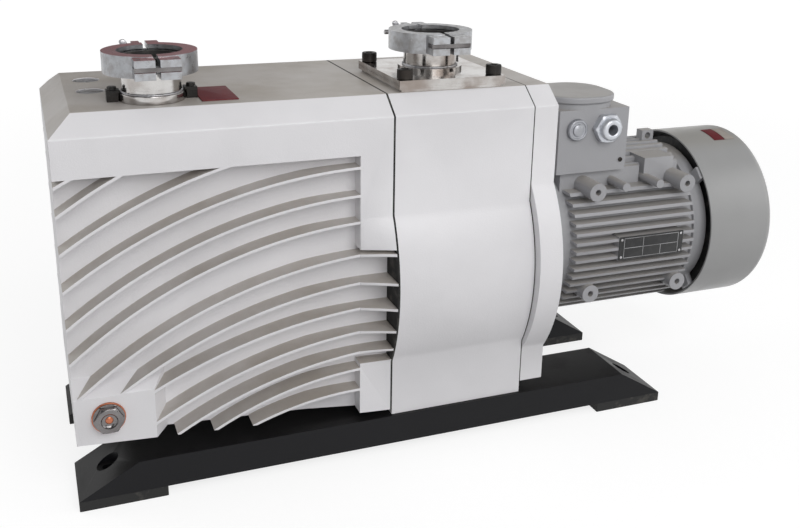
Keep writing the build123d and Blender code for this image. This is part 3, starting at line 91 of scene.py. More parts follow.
class NodeSketch:
    """Adds nodes to one node tree from left to right and links them by socket name."""

    step = 190

    def __init__(self, tree: bpy.types.NodeTree) -> None:
        """Start with an empty tree."""
        self.tree = tree
        self.column = 0
        tree.nodes.clear()

    def node(self, kind: str, **settings: object) -> bpy.types.Node:
        """Add one node.

        Args:
            kind: Blender's type name of the node.
            settings: attributes to set on it.

        Returns:
            The new node.
        """
        made = self.tree.nodes.new(kind)
        made.location = (self.column * self.step, 0)
        self.column += 1
        for name, value in settings.items():
            setattr(made, name, value)
        return made

    def give(self, socket: bpy.types.NodeSocket, source: object) -> None:
        """Link or set one input; a colour without alpha becomes opaque.

        Args:
            socket: input socket.
            source: output socket to link, or a plain value to set.
        """
        if isinstance(source, bpy.types.NodeSocket):
            self.tree.links.new(source, socket)
        elif socket.type == "RGBA":
            socket.default_value = (*source, 1.0)
        else:
            socket.default_value = source

    def feed(self, node: bpy.types.Node, **sources: object) -> bpy.types.Node:
        """Link or set inputs of a node; an underscore in a name stands for a space.

        Args:
            node: node whose inputs are fed.
            sources: output sockets to link, or plain values to set.

        Returns:
            The same node.
        """
        for name, source in sources.items():
            self.give(node.inputs[name.replace("_", " ")], source)
        return node

    def end(self, kind: str, **sources: object) -> bpy.types.NodeTree:
        """Add the tree's output node.

        Args:
            kind: Blender's type name of the node.
            sources: what feeds its inputs.

        Returns:
            The finished tree.
        """
        self.feed(self.node(kind), **sources)
        return self.tree

    def place(self) -> bpy.types.NodeSocket:
        """Object coordinates."""
        return self.node("ShaderNodeTexCoord").outputs["Object"]

    def maths(self, operation: str, *operands: object) -> bpy.types.NodeSocket:
        """Add a Math node.

        Args:
            operation: Blender's name of the operation.
            operands: sockets or numbers, in the node's order.

        Returns:
            The node's output socket.
        """
        node = self.node("ShaderNodeMath", operation=operation)
        for socket, value in zip(node.inputs, operands):
            self.give(socket, value)
        return node.outputs[0]

    def remap(self, value: bpy.types.NodeSocket, low: float, high: float, to_low: float = 0.0,
              to_high: float = 1.0) -> bpy.types.NodeSocket:
        """Map a value smoothly from one range to another.

        Args:
            value: socket to map.
            low: value that becomes to_low.
            high: value that becomes to_high.
            to_low: lowest result.
            to_high: highest result.

        Returns:
            The mapped socket.
        """
        node = self.node("ShaderNodeMapRange", interpolation_type="SMOOTHSTEP")
        self.feed(node, Value=value, From_Min=low, From_Max=high, To_Min=to_low, To_Max=to_high)
        return node.outputs["Result"]

    def noise(self, vector: bpy.types.NodeSocket, scale: object, detail: float = 2.0,
              roughness: float = 0.5) -> bpy.types.NodeSocket:
        """Add a noise texture.

        Args:
            vector: coordinates that it reads.
            scale: cells per metre, a socket or a number.
            detail: octaves.
            roughness: share of the finer octaves.

        Returns:
            The noise's value socket.
        """
        node = self.node("ShaderNodeTexNoise")
        self.feed(node, Vector=vector, Scale=scale, Detail=detail, Roughness=roughness)
        return node.outputs[0]

    def blend(self, factor: object, first: object, second: object) -> bpy.types.NodeSocket:
        """Mix two colours.

        Args:
            factor: share of the second colour, a socket or a number.
            first: colour socket or value.
            second: colour socket or value.

        Returns:
            The mixed colour socket.
        """
        node = self.node("ShaderNodeMix", data_type="RGBA")
        for index, value in ((0, factor), (6, first), (7, second)):
            self.give(node.inputs[index], value)
        return node.outputs[2]


class EffectLibrary:
    """Builds each shared node group once and hands it out."""

    broad_share = 0.2
    facing_up = (0.15, 0.9)
    leaning = (0.25, 0.55)
    patch_range = (0.25, 0.75)
    patch_cover = (0.72, 1.0)
    smudge_range = (0.48, 0.68)
    smudge_break = 260.0
    soft_range = (0.35, 0.7)

    def __init__(self) -> None:
        """Build every group."""
        self.groups = {
            Effect.GRAIN: self._grain(),
            Effect.TOP_TINT: self._dust(),
            Effect.SMUDGE: self._smudge(),
            Effect.LINES: self._lines(),
            Effect.STAIN: self._stain(),
        }

    @staticmethod
    def _start(effect: Effect, inputs: dict[str, str],
               outputs: dict[str, str]) -> tuple[NodeSketch, bpy.types.NodeOutputs]:
        """Open a group with its sockets.

        Args:
            effect: which group it is.
            inputs: kind of each input, by name.
            outputs: kind of each output, by name.

        Returns:
            The sketch of the group's tree and the sockets of its inputs.
        """
        tree = bpy.data.node_groups.new(effect.value, "ShaderNodeTree")
        for way, sockets in (("INPUT", inputs), ("OUTPUT", outputs)):
            for name, kind in sockets.items():
                tree.interface.new_socket(name, in_out=way, socket_type=f"NodeSocket{kind}")
        sketch = NodeSketch(tree)
        return sketch, sketch.node("NodeGroupInput").outputs

    @classmethod
    def _grain(cls) -> bpy.types.NodeTree:
        """Height of a sprayed or cast skin: fine noise plus a share of noise five times coarser."""
        sketch, source = cls._start(Effect.GRAIN, {"Scale": "Float", "Coarse Share": "Float"},
                                    {"Height": "Float"})
        place = sketch.place()
        fine = sketch.noise(place, source["Scale"], detail=1.0)
        broad = sketch.noise(place, sketch.maths("MULTIPLY", source["Scale"], cls.broad_share))
        share = sketch.maths("MULTIPLY", broad, source["Coarse Share"])
        return sketch.end("NodeGroupOutput", Height=sketch.maths("ADD", fine, share))

    @classmethod
    def _dust(cls) -> bpy.types.NodeTree:
        """Colour with a tint on what faces up: dust, and on the housing also painted shade of its upper
        faces.

        The mask is a smooth step of the normal's height, times noise, times a fall-off for faces
        that lean to the front or the back.
        """
        sketch, source = cls._start(
            Effect.TOP_TINT,
            {"Paint": "Color", "TopTint": "Color", "Amount": "Float", "Patch Scale": "Float"},
            {"Color": "Color"})
        coordinates = sketch.node("ShaderNodeTexCoord").outputs
        parts = sketch.feed(sketch.node("ShaderNodeSeparateXYZ"), Vector=coordinates["Normal"])
        upward = sketch.remap(parts.outputs["Z"], *cls.facing_up)
        lean = sketch.maths("ABSOLUTE", parts.outputs["Y"])
        level = sketch.remap(lean, *cls.leaning, 1.0, 0.0)
        upward = sketch.maths("MULTIPLY", upward, level)
        patches = sketch.noise(coordinates["Object"], source["Patch Scale"], detail=5.0,
                               roughness=0.6)
        cover = sketch.remap(patches, *cls.patch_range, *cls.patch_cover)
        mask = sketch.maths("MULTIPLY", upward, cover)
        mask = sketch.maths("MULTIPLY", mask, source["Amount"])
        colour = sketch.blend(mask, source["Paint"], source["TopTint"])
        return sketch.end("NodeGroupOutput", Color=colour)

    @classmethod
    def _smudge(cls) -> bpy.types.NodeTree:
        """Mask of fingered and rubbed spots: coarse noise where it is high, times fine noise."""
        sketch, source = cls._start(Effect.SMUDGE, {"Scale": "Float", "Amount": "Float"},
                                    {"Mask": "Float"})
        place = sketch.place()
        spots = sketch.noise(place, source["Scale"], detail=4.0, roughness=0.6)
        spots = sketch.remap(spots, *cls.smudge_range)
        broken = sketch.noise(place, cls.smudge_break, detail=3.0, roughness=0.7)
        mask = sketch.maths("MULTIPLY", spots, broken)
        mask = sketch.maths("MULTIPLY", mask, source["Amount"])
        return sketch.end("NodeGroupOutput", Mask=mask)

    @classmethod
    def _lines(cls) -> bpy.types.NodeTree:
        """Height and mask of tool marks: noise on coordinates stretched along the tool's path."""
        sketch, source = cls._start(Effect.LINES, {"Stretch": "Vector"},
                                    {"Height": "Float", "Mask": "Float"})
        place = sketch.place()
        product = sketch.node("ShaderNodeVectorMath", operation="MULTIPLY")
        sketch.give(product.inputs[0], place)
        sketch.give(product.inputs[1], source["Stretch"])
        height = sketch.noise(product.outputs[0], 1.0, roughness=0.6)
        mask = sketch.remap(height, *cls.soft_range)
        return sketch.end("NodeGroupOutput", Height=height, Mask=mask)

    @classmethod
    def _stain(cls) -> bpy.types.NodeTree:
        """Colour with a soft uneven tint: two octaves of wide noise choose between two colours."""
        sketch, source = cls._start(
            Effect.STAIN,
            {"Base": "Color", "Tint": "Color", "Scale": "Float", "Amount": "Float"},
            {"Color": "Color"})
        wide = sketch.noise(sketch.place(), source["Scale"], detail=3.0, roughness=0.55)
        wide = sketch.remap(wide, *cls.soft_range)
        share = sketch.maths("MULTIPLY", wide, source["Amount"])
        colour = sketch.blend(share, source["Base"], source["Tint"])
        return sketch.end("NodeGroupOutput", Color=colour)

    def place(self, sketch: NodeSketch, effect: Effect,
              **values: object) -> bpy.types.NodeOutputs:
        """Put a group into a material.

        Args:
            sketch: sketch of the material's tree.
            effect: the group to place.
            values: inputs of the group, by socket name with underscores for spaces.

        Returns:
            The group node's outputs.
        """
        node = sketch.node("ShaderNodeGroup", node_tree=self.groups[effect])
        return sketch.feed(node, **values).outputs


EFFECTS = EffectLibrary()


def scaled(colour: Colour, share: float) -> Colour:
    """The colour, darkened to a share of itself."""
    return tuple(share * part for part in colour)


@dataclass(frozen=True)
class Finish:
    """Common part of all finishes: a name and a Principled shader with a bumped normal."""

    name: str

    def build(self) -> bpy.types.Material:
        """Make the material.

        Returns:
            The finished material.
        """
        material = bpy.data.materials.new(self.name)
        material.use_nodes = True
        sketch = NodeSketch(material.node_tree)
        inputs = self.inputs(sketch)
        shader = sketch.feed(sketch.node("ShaderNodeBsdfPrincipled"), **inputs)
        sketch.end("ShaderNodeOutputMaterial", Surface=shader.outputs[0])
        return material

    def inputs(self, sketch: NodeSketch) -> dict[str, object]:
        """Draw the finish's own nodes.

        Args:
            sketch: sketch of the material's tree.

        Returns:
            Inputs of the Principled shader, with underscores for spaces.
        """
        raise NotImplementedError

    @staticmethod
    def bump(sketch: NodeSketch, height: bpy.types.NodeSocket,
             depth: float) -> bpy.types.NodeSocket:
        """Turn a height into a normal.

        Args:
            sketch: sketch of the material's tree.
            height: height socket.
            depth: depth of the relief in metres.

        Returns:
            The normal socket.
        """
        node = sketch.node("ShaderNodeBump")
        return sketch.feed(node, Height=height, Distance=depth, Strength=1.0).outputs[0]


@dataclass(frozen=True)
class SprayedPaint(Finish):
    """Sprayed paint on a casting or sheet: orange peel, a tint on top, smudged gloss; the tint is dust, on
    the housing also painted shade.
    """

    colour: Colour
    top_tint: Colour = (0.42, 0.38, 0.32)
    top_tint_amount: float = 0.6
    roughness: float = 0.42
    gloss_spread: float = 0.18
    peel_scale: float = 700.0
    peel_depth: float = 0.00012
    gloss: float = 0.5
    patch_scale: float = 14.0
    cloud_scale: float = 9.0
    cloud_share: float = 0.9
    cloud_amount: float = 0.6
    smudge_scale: float = 22.0
    smudge_amount: float = 0.8
    coarse_share: float = 0.5

    def inputs(self, sketch: NodeSketch) -> dict[str, object]:
        """Clouded paint, tinted on top with dust and on the housing with painted shade, over an orange-peel
        relief.

        Args:
            sketch: sketch of the material's tree.

        Returns:
            Inputs of the Principled shader.
        """
        tone = EFFECTS.place(sketch, Effect.STAIN, Base=self.colour,
                             Tint=scaled(self.colour, self.cloud_share),
                             Scale=self.cloud_scale, Amount=self.cloud_amount)
        top_tinted = EFFECTS.place(sketch, Effect.TOP_TINT, Paint=tone["Color"],
                               TopTint=self.top_tint, Amount=self.top_tint_amount,
                               Patch_Scale=self.patch_scale)
        smudge = EFFECTS.place(sketch, Effect.SMUDGE, Scale=self.smudge_scale,
                               Amount=self.smudge_amount)
        rough = sketch.maths("MULTIPLY_ADD", smudge["Mask"], self.gloss_spread, self.roughness)
        grain = EFFECTS.place(sketch, Effect.GRAIN, Scale=self.peel_scale,
                              Coarse_Share=self.coarse_share)
        normal = self.bump(sketch, grain["Height"], self.peel_depth)
        return dict(Base_Color=top_tinted["Color"], Roughness=rough, Normal=normal,
                    Specular_IOR_Level=self.gloss)


@dataclass(frozen=True)
class WorkedMetal(Finish):
    """Bare metal with tool lines along one direction and an uneven second tone: tarnish, on the neck and
    the inlet plate also painted brown reflection.
    """

    colour: Colour
    second_tone: Colour
    stretch: tuple[float, float, float] = (60.0, 60.0, 2500.0)
    second_tone_amount: float = 0.35
    roughness: float = 0.25
    gloss_spread: float = 0.2
    line_depth: float = 0.00002
    metallic: float = 1.0
    second_tone_scale: float = 35.0
    smudge_scale: float = 60.0
    smudge_amount: float = 0.6

    def inputs(self, sketch: NodeSketch) -> dict[str, object]:
        """Metal in its uneven second tone, whose tool lines roughen it.

        Args:
            sketch: sketch of the material's tree.

        Returns:
            Inputs of the Principled shader.
        """
        tone = EFFECTS.place(sketch, Effect.STAIN, Base=self.colour,
                             Tint=self.second_tone, Scale=self.second_tone_scale,
                             Amount=self.second_tone_amount)
        lines = EFFECTS.place(sketch, Effect.LINES, Stretch=self.stretch)
        smudge = EFFECTS.place(sketch, Effect.SMUDGE, Scale=self.smudge_scale,
                               Amount=self.smudge_amount)
        worn = sketch.maths("ADD", lines["Mask"], smudge["Mask"])
        rough = sketch.maths("MULTIPLY_ADD", worn, self.gloss_spread, self.roughness)
        normal = self.bump(sketch, lines["Height"], self.line_depth)
        return dict(Base_Color=tone["Color"], Roughness=rough, Normal=normal,
                    Metallic=self.metallic)


@dataclass(frozen=True)
class CastSkin(Finish):
    """Bare or blasted cast metal: coarse grain and dark pores."""

    colour: Colour
    pores: Colour
    roughness: float = 0.5
    scale: float = 450.0
    depth: float = 0.0002
    metallic: float = 0.8
    upward_tone: Colour = (0.12, 0.11, 0.10)
    upward_tone_amount: float = 0.2
    patch_scale: float = 14.0
    pore_share: float = 0.25
    pore_amount: float = 0.5
    coarse_share: float = 0.8
    height_range: tuple[float, float] = (0.3, 1.1)
    gloss_spread: float = 0.12

    def inputs(self, sketch: NodeSketch) -> dict[str, object]:
        """Porous skin with a second tone on what faces up.

        Args:
            sketch: sketch of the material's tree.

        Returns:
            Inputs of the Principled shader.
        """
        tone = EFFECTS.place(sketch, Effect.STAIN, Base=self.colour,
                             Tint=self.pores, Scale=self.scale * self.pore_share,
                             Amount=self.pore_amount)
        top_tinted = EFFECTS.place(sketch, Effect.TOP_TINT, Paint=tone["Color"],
                               TopTint=self.upward_tone, Amount=self.upward_tone_amount,
                               Patch_Scale=self.patch_scale)
        grain = EFFECTS.place(sketch, Effect.GRAIN, Scale=self.scale,
                              Coarse_Share=self.coarse_share)
        rough = sketch.remap(grain["Height"], *self.height_range,
                             self.roughness - self.gloss_spread, self.roughness + self.gloss_spread)
        normal = self.bump(sketch, grain["Height"], self.depth)
        return dict(Base_Color=top_tinted["Color"], Roughness=rough, Normal=normal,
                    Metallic=self.metallic)


@dataclass(frozen=True)
class MouldedPolymer(Finish):
    """Moulded plastic or rubber: fine grain, a little dust and scuffs."""

    colour: Colour
    top_tint: Colour = (0.3, 0.28, 0.25)
    top_tint_amount: float = 0.25
    roughness: float = 0.55
    scale: float = 1500.0
    depth: float = 0.00006
    patch_scale: float = 40.0
    scuff_scale: float = 70.0
    scuff_amount: float = 0.7
    gloss_spread: float = 0.25
    coarse_share: float = 0.6

    def inputs(self, sketch: NodeSketch) -> dict[str, object]:
        """Dusted plastic that scuffs turn paler and duller.

        Args:
            sketch: sketch of the material's tree.

        Returns:
            Inputs of the Principled shader.
        """
        top_tinted = EFFECTS.place(sketch, Effect.TOP_TINT, Paint=self.colour,
                               TopTint=self.top_tint, Amount=self.top_tint_amount,
                               Patch_Scale=self.patch_scale)
        scuff = EFFECTS.place(sketch, Effect.SMUDGE, Scale=self.scuff_scale,
                              Amount=self.scuff_amount)
        scuffed = tuple((part + grey) / 2 for part, grey in zip(self.colour, self.top_tint))
        colour = sketch.blend(scuff["Mask"], top_tinted["Color"], scuffed)
        rough = sketch.maths("MULTIPLY_ADD", scuff["Mask"], self.gloss_spread, self.roughness)
        grain = EFFECTS.place(sketch, Effect.GRAIN, Scale=self.scale,
                              Coarse_Share=self.coarse_share)
        normal = self.bump(sketch, grain["Height"], self.depth)
        return dict(Base_Color=colour, Roughness=rough, Normal=normal)


@dataclass(frozen=True)
class WoundFleece(Finish):
    """Filter fleece: soft fibres round the cartridge."""

    colour: Colour
    shade: Colour
    stretch: tuple[float, float, float] = (900.0, 900.0, 220.0)
    roughness: tuple[float, float] = (0.8, 0.98)
    depth: float = 0.0006
    sheen: float = 0.3

    def inputs(self, sketch: NodeSketch) -> dict[str, object]:
        """Fibres that shade and roughen the fleece.

        Args:
            sketch: sketch of the material's tree.

        Returns:
            Inputs of the Principled shader.
        """
        fibres = EFFECTS.place(sketch, Effect.LINES, Stretch=self.stretch)
        colour = sketch.blend(fibres["Mask"], self.colour, self.shade)
        rough = sketch.remap(fibres["Height"], *HEIGHT_RANGE, *self.roughness)
        normal = self.bump(sketch, fibres["Height"], self.depth)
        return dict(Base_Color=colour, Roughness=rough, Normal=normal,
                    Sheen_Weight=self.sheen)


@dataclass(frozen=True)
class BarePlate(Finish):
    """Thin plate left bare: one colour with fine rolling lines and worn spots."""

    colour: Colour
    worn: Colour
    roughness: float = 0.4
    metallic: float = 0.3
    gloss: float = 0.5
    stain_scale: float = 60.0
    stain_amount: float = 0.3
    smudge_scale: float = 90.0
    smudge_amount: float = 0.8
    gloss_spread: float = 0.3
    stretch: tuple[float, float, float] = (40.0, 2500.0, 2500.0)
    line_depth: float = 0.00002

    def inputs(self, sketch: NodeSketch) -> dict[str, object]:
        """Stained plate with rubbed spots and rolling lines.

        Args:
            sketch: sketch of the material's tree.

        Returns:
            Inputs of the Principled shader.
        """
        tone = EFFECTS.place(sketch, Effect.STAIN, Base=self.colour,
                             Tint=self.worn, Scale=self.stain_scale,
                             Amount=self.stain_amount)
        smudge = EFFECTS.place(sketch, Effect.SMUDGE, Scale=self.smudge_scale,
                               Amount=self.smudge_amount)
        colour = sketch.blend(smudge["Mask"], tone["Color"], self.worn)
        rough = sketch.maths("MULTIPLY_ADD", smudge["Mask"], self.gloss_spread, self.roughness)
        lines = EFFECTS.place(sketch, Effect.LINES, Stretch=self.stretch)
        normal = self.bump(sketch, lines["Height"], self.line_depth)
        return dict(Base_Color=colour, Roughness=rough, Normal=normal,
                    Metallic=self.metallic, Specular_IOR_Level=self.gloss)


@dataclass(frozen=True)
class StatorFinish(Finish):
    """Laminated core between two copper winding heads, told apart by place along the shaft."""

    steel: Colour
    copper: Colour
    core_start: float
    core_end: float
    sheet_stretch: tuple[float, float, float] = (2000.0, 8.0, 8.0)
    wire_stretch: tuple[float, float, float] = (60.0, 700.0, 700.0)
    sheet_shade: float = 0.5
    wire_shade: float = 0.35
    roughness: tuple[float, float] = (0.3, 0.55)
    depth: float = 0.0002
    metallic: float = 0.7

    def inputs(self, sketch: NodeSketch) -> dict[str, object]:
        """Sheet steel between the core's ends, copper beyond.

        Args:
            sketch: sketch of the material's tree.

        Returns:
            Inputs of the Principled shader.
        """
        parts = sketch.feed(sketch.node("ShaderNodeSeparateXYZ"), Vector=sketch.place())
        along = parts.outputs["X"]
        after = sketch.maths("GREATER_THAN", along, self.core_start)
        before = sketch.maths("LESS_THAN", along, self.core_end)
        core = sketch.maths("MULTIPLY", after, before)
        sheets = EFFECTS.place(sketch, Effect.LINES, Stretch=self.sheet_stretch)
        wires = EFFECTS.place(sketch, Effect.LINES, Stretch=self.wire_stretch)
        steel = sketch.blend(sheets["Mask"], self.steel,
                             scaled(self.steel, self.sheet_shade))
        copper = sketch.blend(wires["Mask"], self.copper,
                              scaled(self.copper, self.wire_shade))
        colour = sketch.blend(core, copper, steel)
        rough = sketch.remap(wires["Height"], *HEIGHT_RANGE, *self.roughness)
        normal = self.bump(sketch, wires["Height"], self.depth)
        return dict(Base_Color=colour, Roughness=rough, Normal=normal,
                    Metallic=self.metallic)


def rounded(points: Sequence[tuple[float, float]], radius: float, steps: int = 4,
            closed: bool = True) -> np.ndarray:
    """Outline with rounded corners.

    Each corner P becomes (1-t)^2 A + 2t(1-t) P + t^2 B, where A and B lie on its two edges, the
    radius away from P or nearly half of the edge if that is less.

    Args:
        points: corners in order.
        radius: cut-back of each corner.
        steps: points less one that stand for each corner.
        closed: whether the last corner joins the first; an open outline keeps its ends sharp.

    Returns:
        The rounded outline's points, one a line.
    """
    corner = np.asarray(points, dtype=float)
    before = np.roll(corner, 1, axis=0) - corner
    after = np.roll(corner, -1, axis=0) - corner
    ends = np.zeros(len(corner), dtype=bool)
    if not closed:
        ends[[0, -1]] = True
    before_length = np.maximum(np.linalg.norm(before, axis=1), 1e-12)[:, None]
    after_length = np.maximum(np.linalg.norm(after, axis=1), 1e-12)[:, None]
    cut = np.minimum(radius, 0.49 * np.minimum(before_length, after_length))
    cut[ends] = 0.0
    start = corner + before / before_length * cut
    stop = corner + after / after_length * cut
    t = np.linspace(0.0, 1.0, steps + 1)[None, :, None]
    curve = (1 - t) ** 2 * start[:, None] + 2 * t * (1 - t) * corner[:, None] + t**2 * stop[:, None]
    outline = curve.reshape(-1, 2)
    moved = np.linalg.norm(outline - np.roll(outline, 1, axis=0), axis=1) > 1e-9
    if not closed:
        moved[0] = True
    return outline[moved]


@dataclass
class Shape:
    """Points in metres and faces of one closed or open surface."""

    points: np.ndarray
    faces: list[tuple[int, ...]]

    def moved(self, offset: Sequence[float]) -> "Shape":
        """Copy of the shape, moved by an offset."""
        return Shape(self.points + np.asarray(offset, dtype=float), self.faces)

    def laid(self, axis: Axis, centre: Sequence[float], flip: bool = False) -> "Shape":
        """Copy with its own Z along a row axis.

        Args:
            axis: row axis that the shape's Z becomes.
            centre: row point that the shape's origin becomes.
            flip: turn the shape half round first, so that its Z points along minus the axis.

        Returns:
            The placed shape.
        """
        points = self.points * np.array([1.0, -1.0, -1.0]) if flip else self.points
        order = {Axis.X: (2, 0, 1), Axis.Y: (1, 2, 0), Axis.Z: (0, 1, 2)}[axis]
        return Shape(points[:, order], self.faces).moved(centre)

    def spun(self, angle: float) -> "Shape":
        """Copy turned round its own Z by an angle in radians."""
        cos, sin = math.cos(angle), math.sin(angle)
        turn = np.array([[cos, sin, 0.0], [-sin, cos, 0.0], [0.0, 0.0, 1.0]])
        return Shape(self.points @ turn, self.faces)


def joined(shapes: Iterable[Shape]) -> Shape:
    """One shape that holds several separate shells."""
    points: list[np.ndarray] = []
    faces: list[tuple[int, ...]] = []
    count = 0
    for shape in shapes:
        points.append(shape.points)
        faces.extend(tuple(count + index for index in face) for face in shape.faces)
        count += len(shape.points)
    return Shape(np.concatenate(points), faces)


def woven(grid: np.ndarray, closed: bool = False, capped: bool = False) -> Shape:
    """Quads (k, a), (k, a + 1), (k + 1, a + 1), (k + 1, a) of a grid of points, each row a ring.

    Args:
        grid: points by row and column.
        closed: whether the last row joins the first.
        capped: whether a face closes the first row and another the last.

    Returns:
        The surface.
    """
    rows, columns = grid.shape[:2]
    row = np.arange(rows if closed else rows - 1)[:, None]
    column = np.arange(columns)[None, :]
    next_row = (row + 1) % rows
    next_column = (column + 1) % columns
    corners = (row * columns + column, row * columns + next_column,
               next_row * columns + next_column, next_row * columns + column)
    quads = np.stack(np.broadcast_arrays(*corners), axis=-1).reshape(-1, 4)
    faces = [tuple(face) for face in quads.tolist()]
    if capped:
        faces.append(tuple(range(columns - 1, -1, -1)))
        faces.append(tuple(range((rows - 1) * columns, rows * columns)))
    return Shape(grid.reshape(-1, 3), faces)


def ring_angles(columns: int) -> np.ndarray:
    """Angles of the columns of a full ring."""
    return np.linspace(0.0, 2 * math.pi, columns, endpoint=False)


def ringed(radius: np.ndarray, height: np.ndarray, closed: bool = False) -> Shape:
    """Rings round Z: (r(k, a) cos a, r(k, a) sin a, h(k, a)) for row k and angle a.

    Args:
        radius: radius for each row and angle; first and last rows of zero close the surface.
        height: height of each row, or for each row and angle.
        closed: whether the last row joins the first, as round a bore.

    Returns:
        The surface.
    """
    angle = ring_angles(radius.shape[1])
    rise = np.broadcast_to(height.reshape(len(radius), -1), radius.shape)
    return woven(np.stack([radius * np.cos(angle), radius * np.sin(angle), rise], axis=-1), closed)


def stacked(rows: Sequence[tuple[object, float]], columns: int, closed: bool = False) -> Shape:
    """Rings round Z from a table.

    Args:
        rows: radius, as one number or one for each angle, and height of each row.
        columns: points of each row.
        closed: whether the last row joins the first.

    Returns:
        The surface.
    """
    radius = np.stack([np.broadcast_to(part, columns) for part, _ in rows])
    return ringed(radius, np.array([height for _, height in rows]), closed)


def revolve(profile: np.ndarray, segments: int = 64, closed: bool = False) -> Shape:
    """Surface of revolution round Z: (r cos a, r sin a, h) for each profile point (r, h).

    Args:
        profile: radius and height of each profile point.
        segments: number of steps round the axis.
        closed: whether the profile's end joins its start, as for a ring.

    Returns:
        The surface; ends of an open profile that lie on the axis close it.
    """
    return ringed(np.repeat(profile[:, :1], segments, axis=1), profile[:, 1], closed)


def washer(inner: float, outer: float, low: float, high: float, edge: float,
           segments: int) -> Shape:
    """Ring round Z with a rectangular section and rounded edges; without a bore, a disc.

    Args:
        inner: radius of the bore, or zero.
        outer: outer radius.
        low: height of the lower face.
        high: height of the upper face.
        edge: rounding of its edges.
        segments: number of steps round the axis.

    Returns:
        The ring.
    """
    corners = [(inner, low), (outer, low), (outer, high), (inner, high)]
    bored = inner > 0.0
    return revolve(rounded(corners, edge, closed=bored), segments, closed=bored)


def dome(radius: float, height: float, steps: int, segments: int) -> Shape:
    """Half an ellipsoid that stands on its rim: radius R sin a, height H cos a.

    Args:
        radius: radius of the rim.
        height: height of the crown.
        steps: number of steps from the rim to the crown.
        segments: number of steps round the axis.

    Returns:
        The dome, open below.
    """
    slope = np.linspace(math.pi / 2, 0.0, steps + 1)
    return revolve(np.stack([radius * np.sin(slope), height * np.cos(slope)], axis=1), segments)


def slab(outline: np.ndarray, levels: np.ndarray) -> Shape:
    """Plate whose section is a rounded outline: point(t, s) = outline(t) - inset(s) normal(t).

    Args:
        outline: rounded outline, anticlockwise, one point a line.
        levels: inset and height of each layer, from the bottom face's edge to the top face's.

    Returns:
        The closed plate.
    """
    ahead = np.roll(outline, -1, axis=0) - np.roll(outline, 1, axis=0)
    ahead /= np.maximum(np.linalg.norm(ahead, axis=1), 1e-12)[:, None]
    normal = np.stack([ahead[:, 1], -ahead[:, 0]], axis=1)
    flat = outline[None] - levels[:, 0, None, None] * normal[None]
    height = np.broadcast_to(levels[:, 1, None, None], (*flat.shape[:2], 1))
    return woven(np.concatenate([flat, height], axis=-1), capped=True)


def soft_levels(bottom: float, top: float, radius: float, steps: int = 3) -> np.ndarray:
    """Layers of a slab with quarter-round edges: inset r(1 - sin a), height r(1 - cos a).

    Args:
        bottom: height of the lower face.
        top: height of the upper face.
        radius: radius of both edges.
        steps: layers less one that stand for each edge.

    Returns:
        Inset and height of each layer, upwards.
    """
    angle = np.linspace(0.0, math.pi / 2, steps + 1)
    low = np.stack([radius * (1 - np.sin(angle)), bottom + radius * (1 - np.cos(angle))], axis=1)
    high = np.stack([low[::-1, 0], top + bottom - low[::-1, 1]], axis=1)
    return np.concatenate([low, high])


def rectangle(length: float, width: float) -> list[tuple[float, float]]:
    """Corners of a rectangle round the origin, anticlockwise."""
    return [(-length / 2, -width / 2), (length / 2, -width / 2),
            (length / 2, width / 2), (-length / 2, width / 2)]


def mesh_of(name: str, shape: Shape) -> bpy.types.Mesh:
    """Mesh of a shape, its doubled points merged and its faces turned outwards.

    Args:
        name: mesh name.
        shape: points and faces.

    Returns:
        The mesh.
    """
    mesh = bpy.data.meshes.new(name)
    mesh.from_pydata(shape.points.tolist(), [], shape.faces)
    work = bmesh.new()
    work.from_mesh(mesh)
    bmesh.ops.remove_doubles(work, verts=work.verts, dist=1e-7)
    bmesh.ops.recalc_face_normals(work, faces=work.faces)
    work.to_mesh(mesh)
    work.free()
    return mesh


def add_piece(name: str, shape: Shape, finish: Finish, body: str, smooth: float = 40.0) -> bpy.types.Object:
    """Make a piece of the scene from a shape.

    Args:
        name: piece name.
        shape: points and faces.
        finish: what its surface is.
        body: body that it moves with.
        smooth: angle in degrees up to which its shading is smooth.

    Returns:
        The new object.
    """
    piece = dress_mesh(name, mesh_of(name, shape), finish, body, smooth)
    return piece


def dress_mesh(name: str, mesh: bpy.types.Mesh, finish: Finish, body: str,
               smooth: float) -> bpy.types.Object:
    """Put a mesh into the scene with its finish, shading and body.

    Args:
        name: piece name.
        mesh: its mesh, in row coordinates.
        finish: what its surface is.
        body: body that it moves with.
        smooth: angle in degrees up to which its shading is smooth.

    Returns:
        The new object.
    """
    mesh.polygons.foreach_set("use_smooth", np.ones(len(mesh.polygons), dtype=bool))
    mesh.set_sharp_from_angle(angle=math.radians(smooth))
    mesh.materials.clear()
    mesh.materials.append(WARDROBE.material(finish))
    piece = bpy.data.objects.new(name, mesh)
    bpy.context.scene.collection.objects.link(piece)
    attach(piece, body)
    LOG.info("%s: %d faces on %s", name, len(mesh.polygons), body)
    return piece


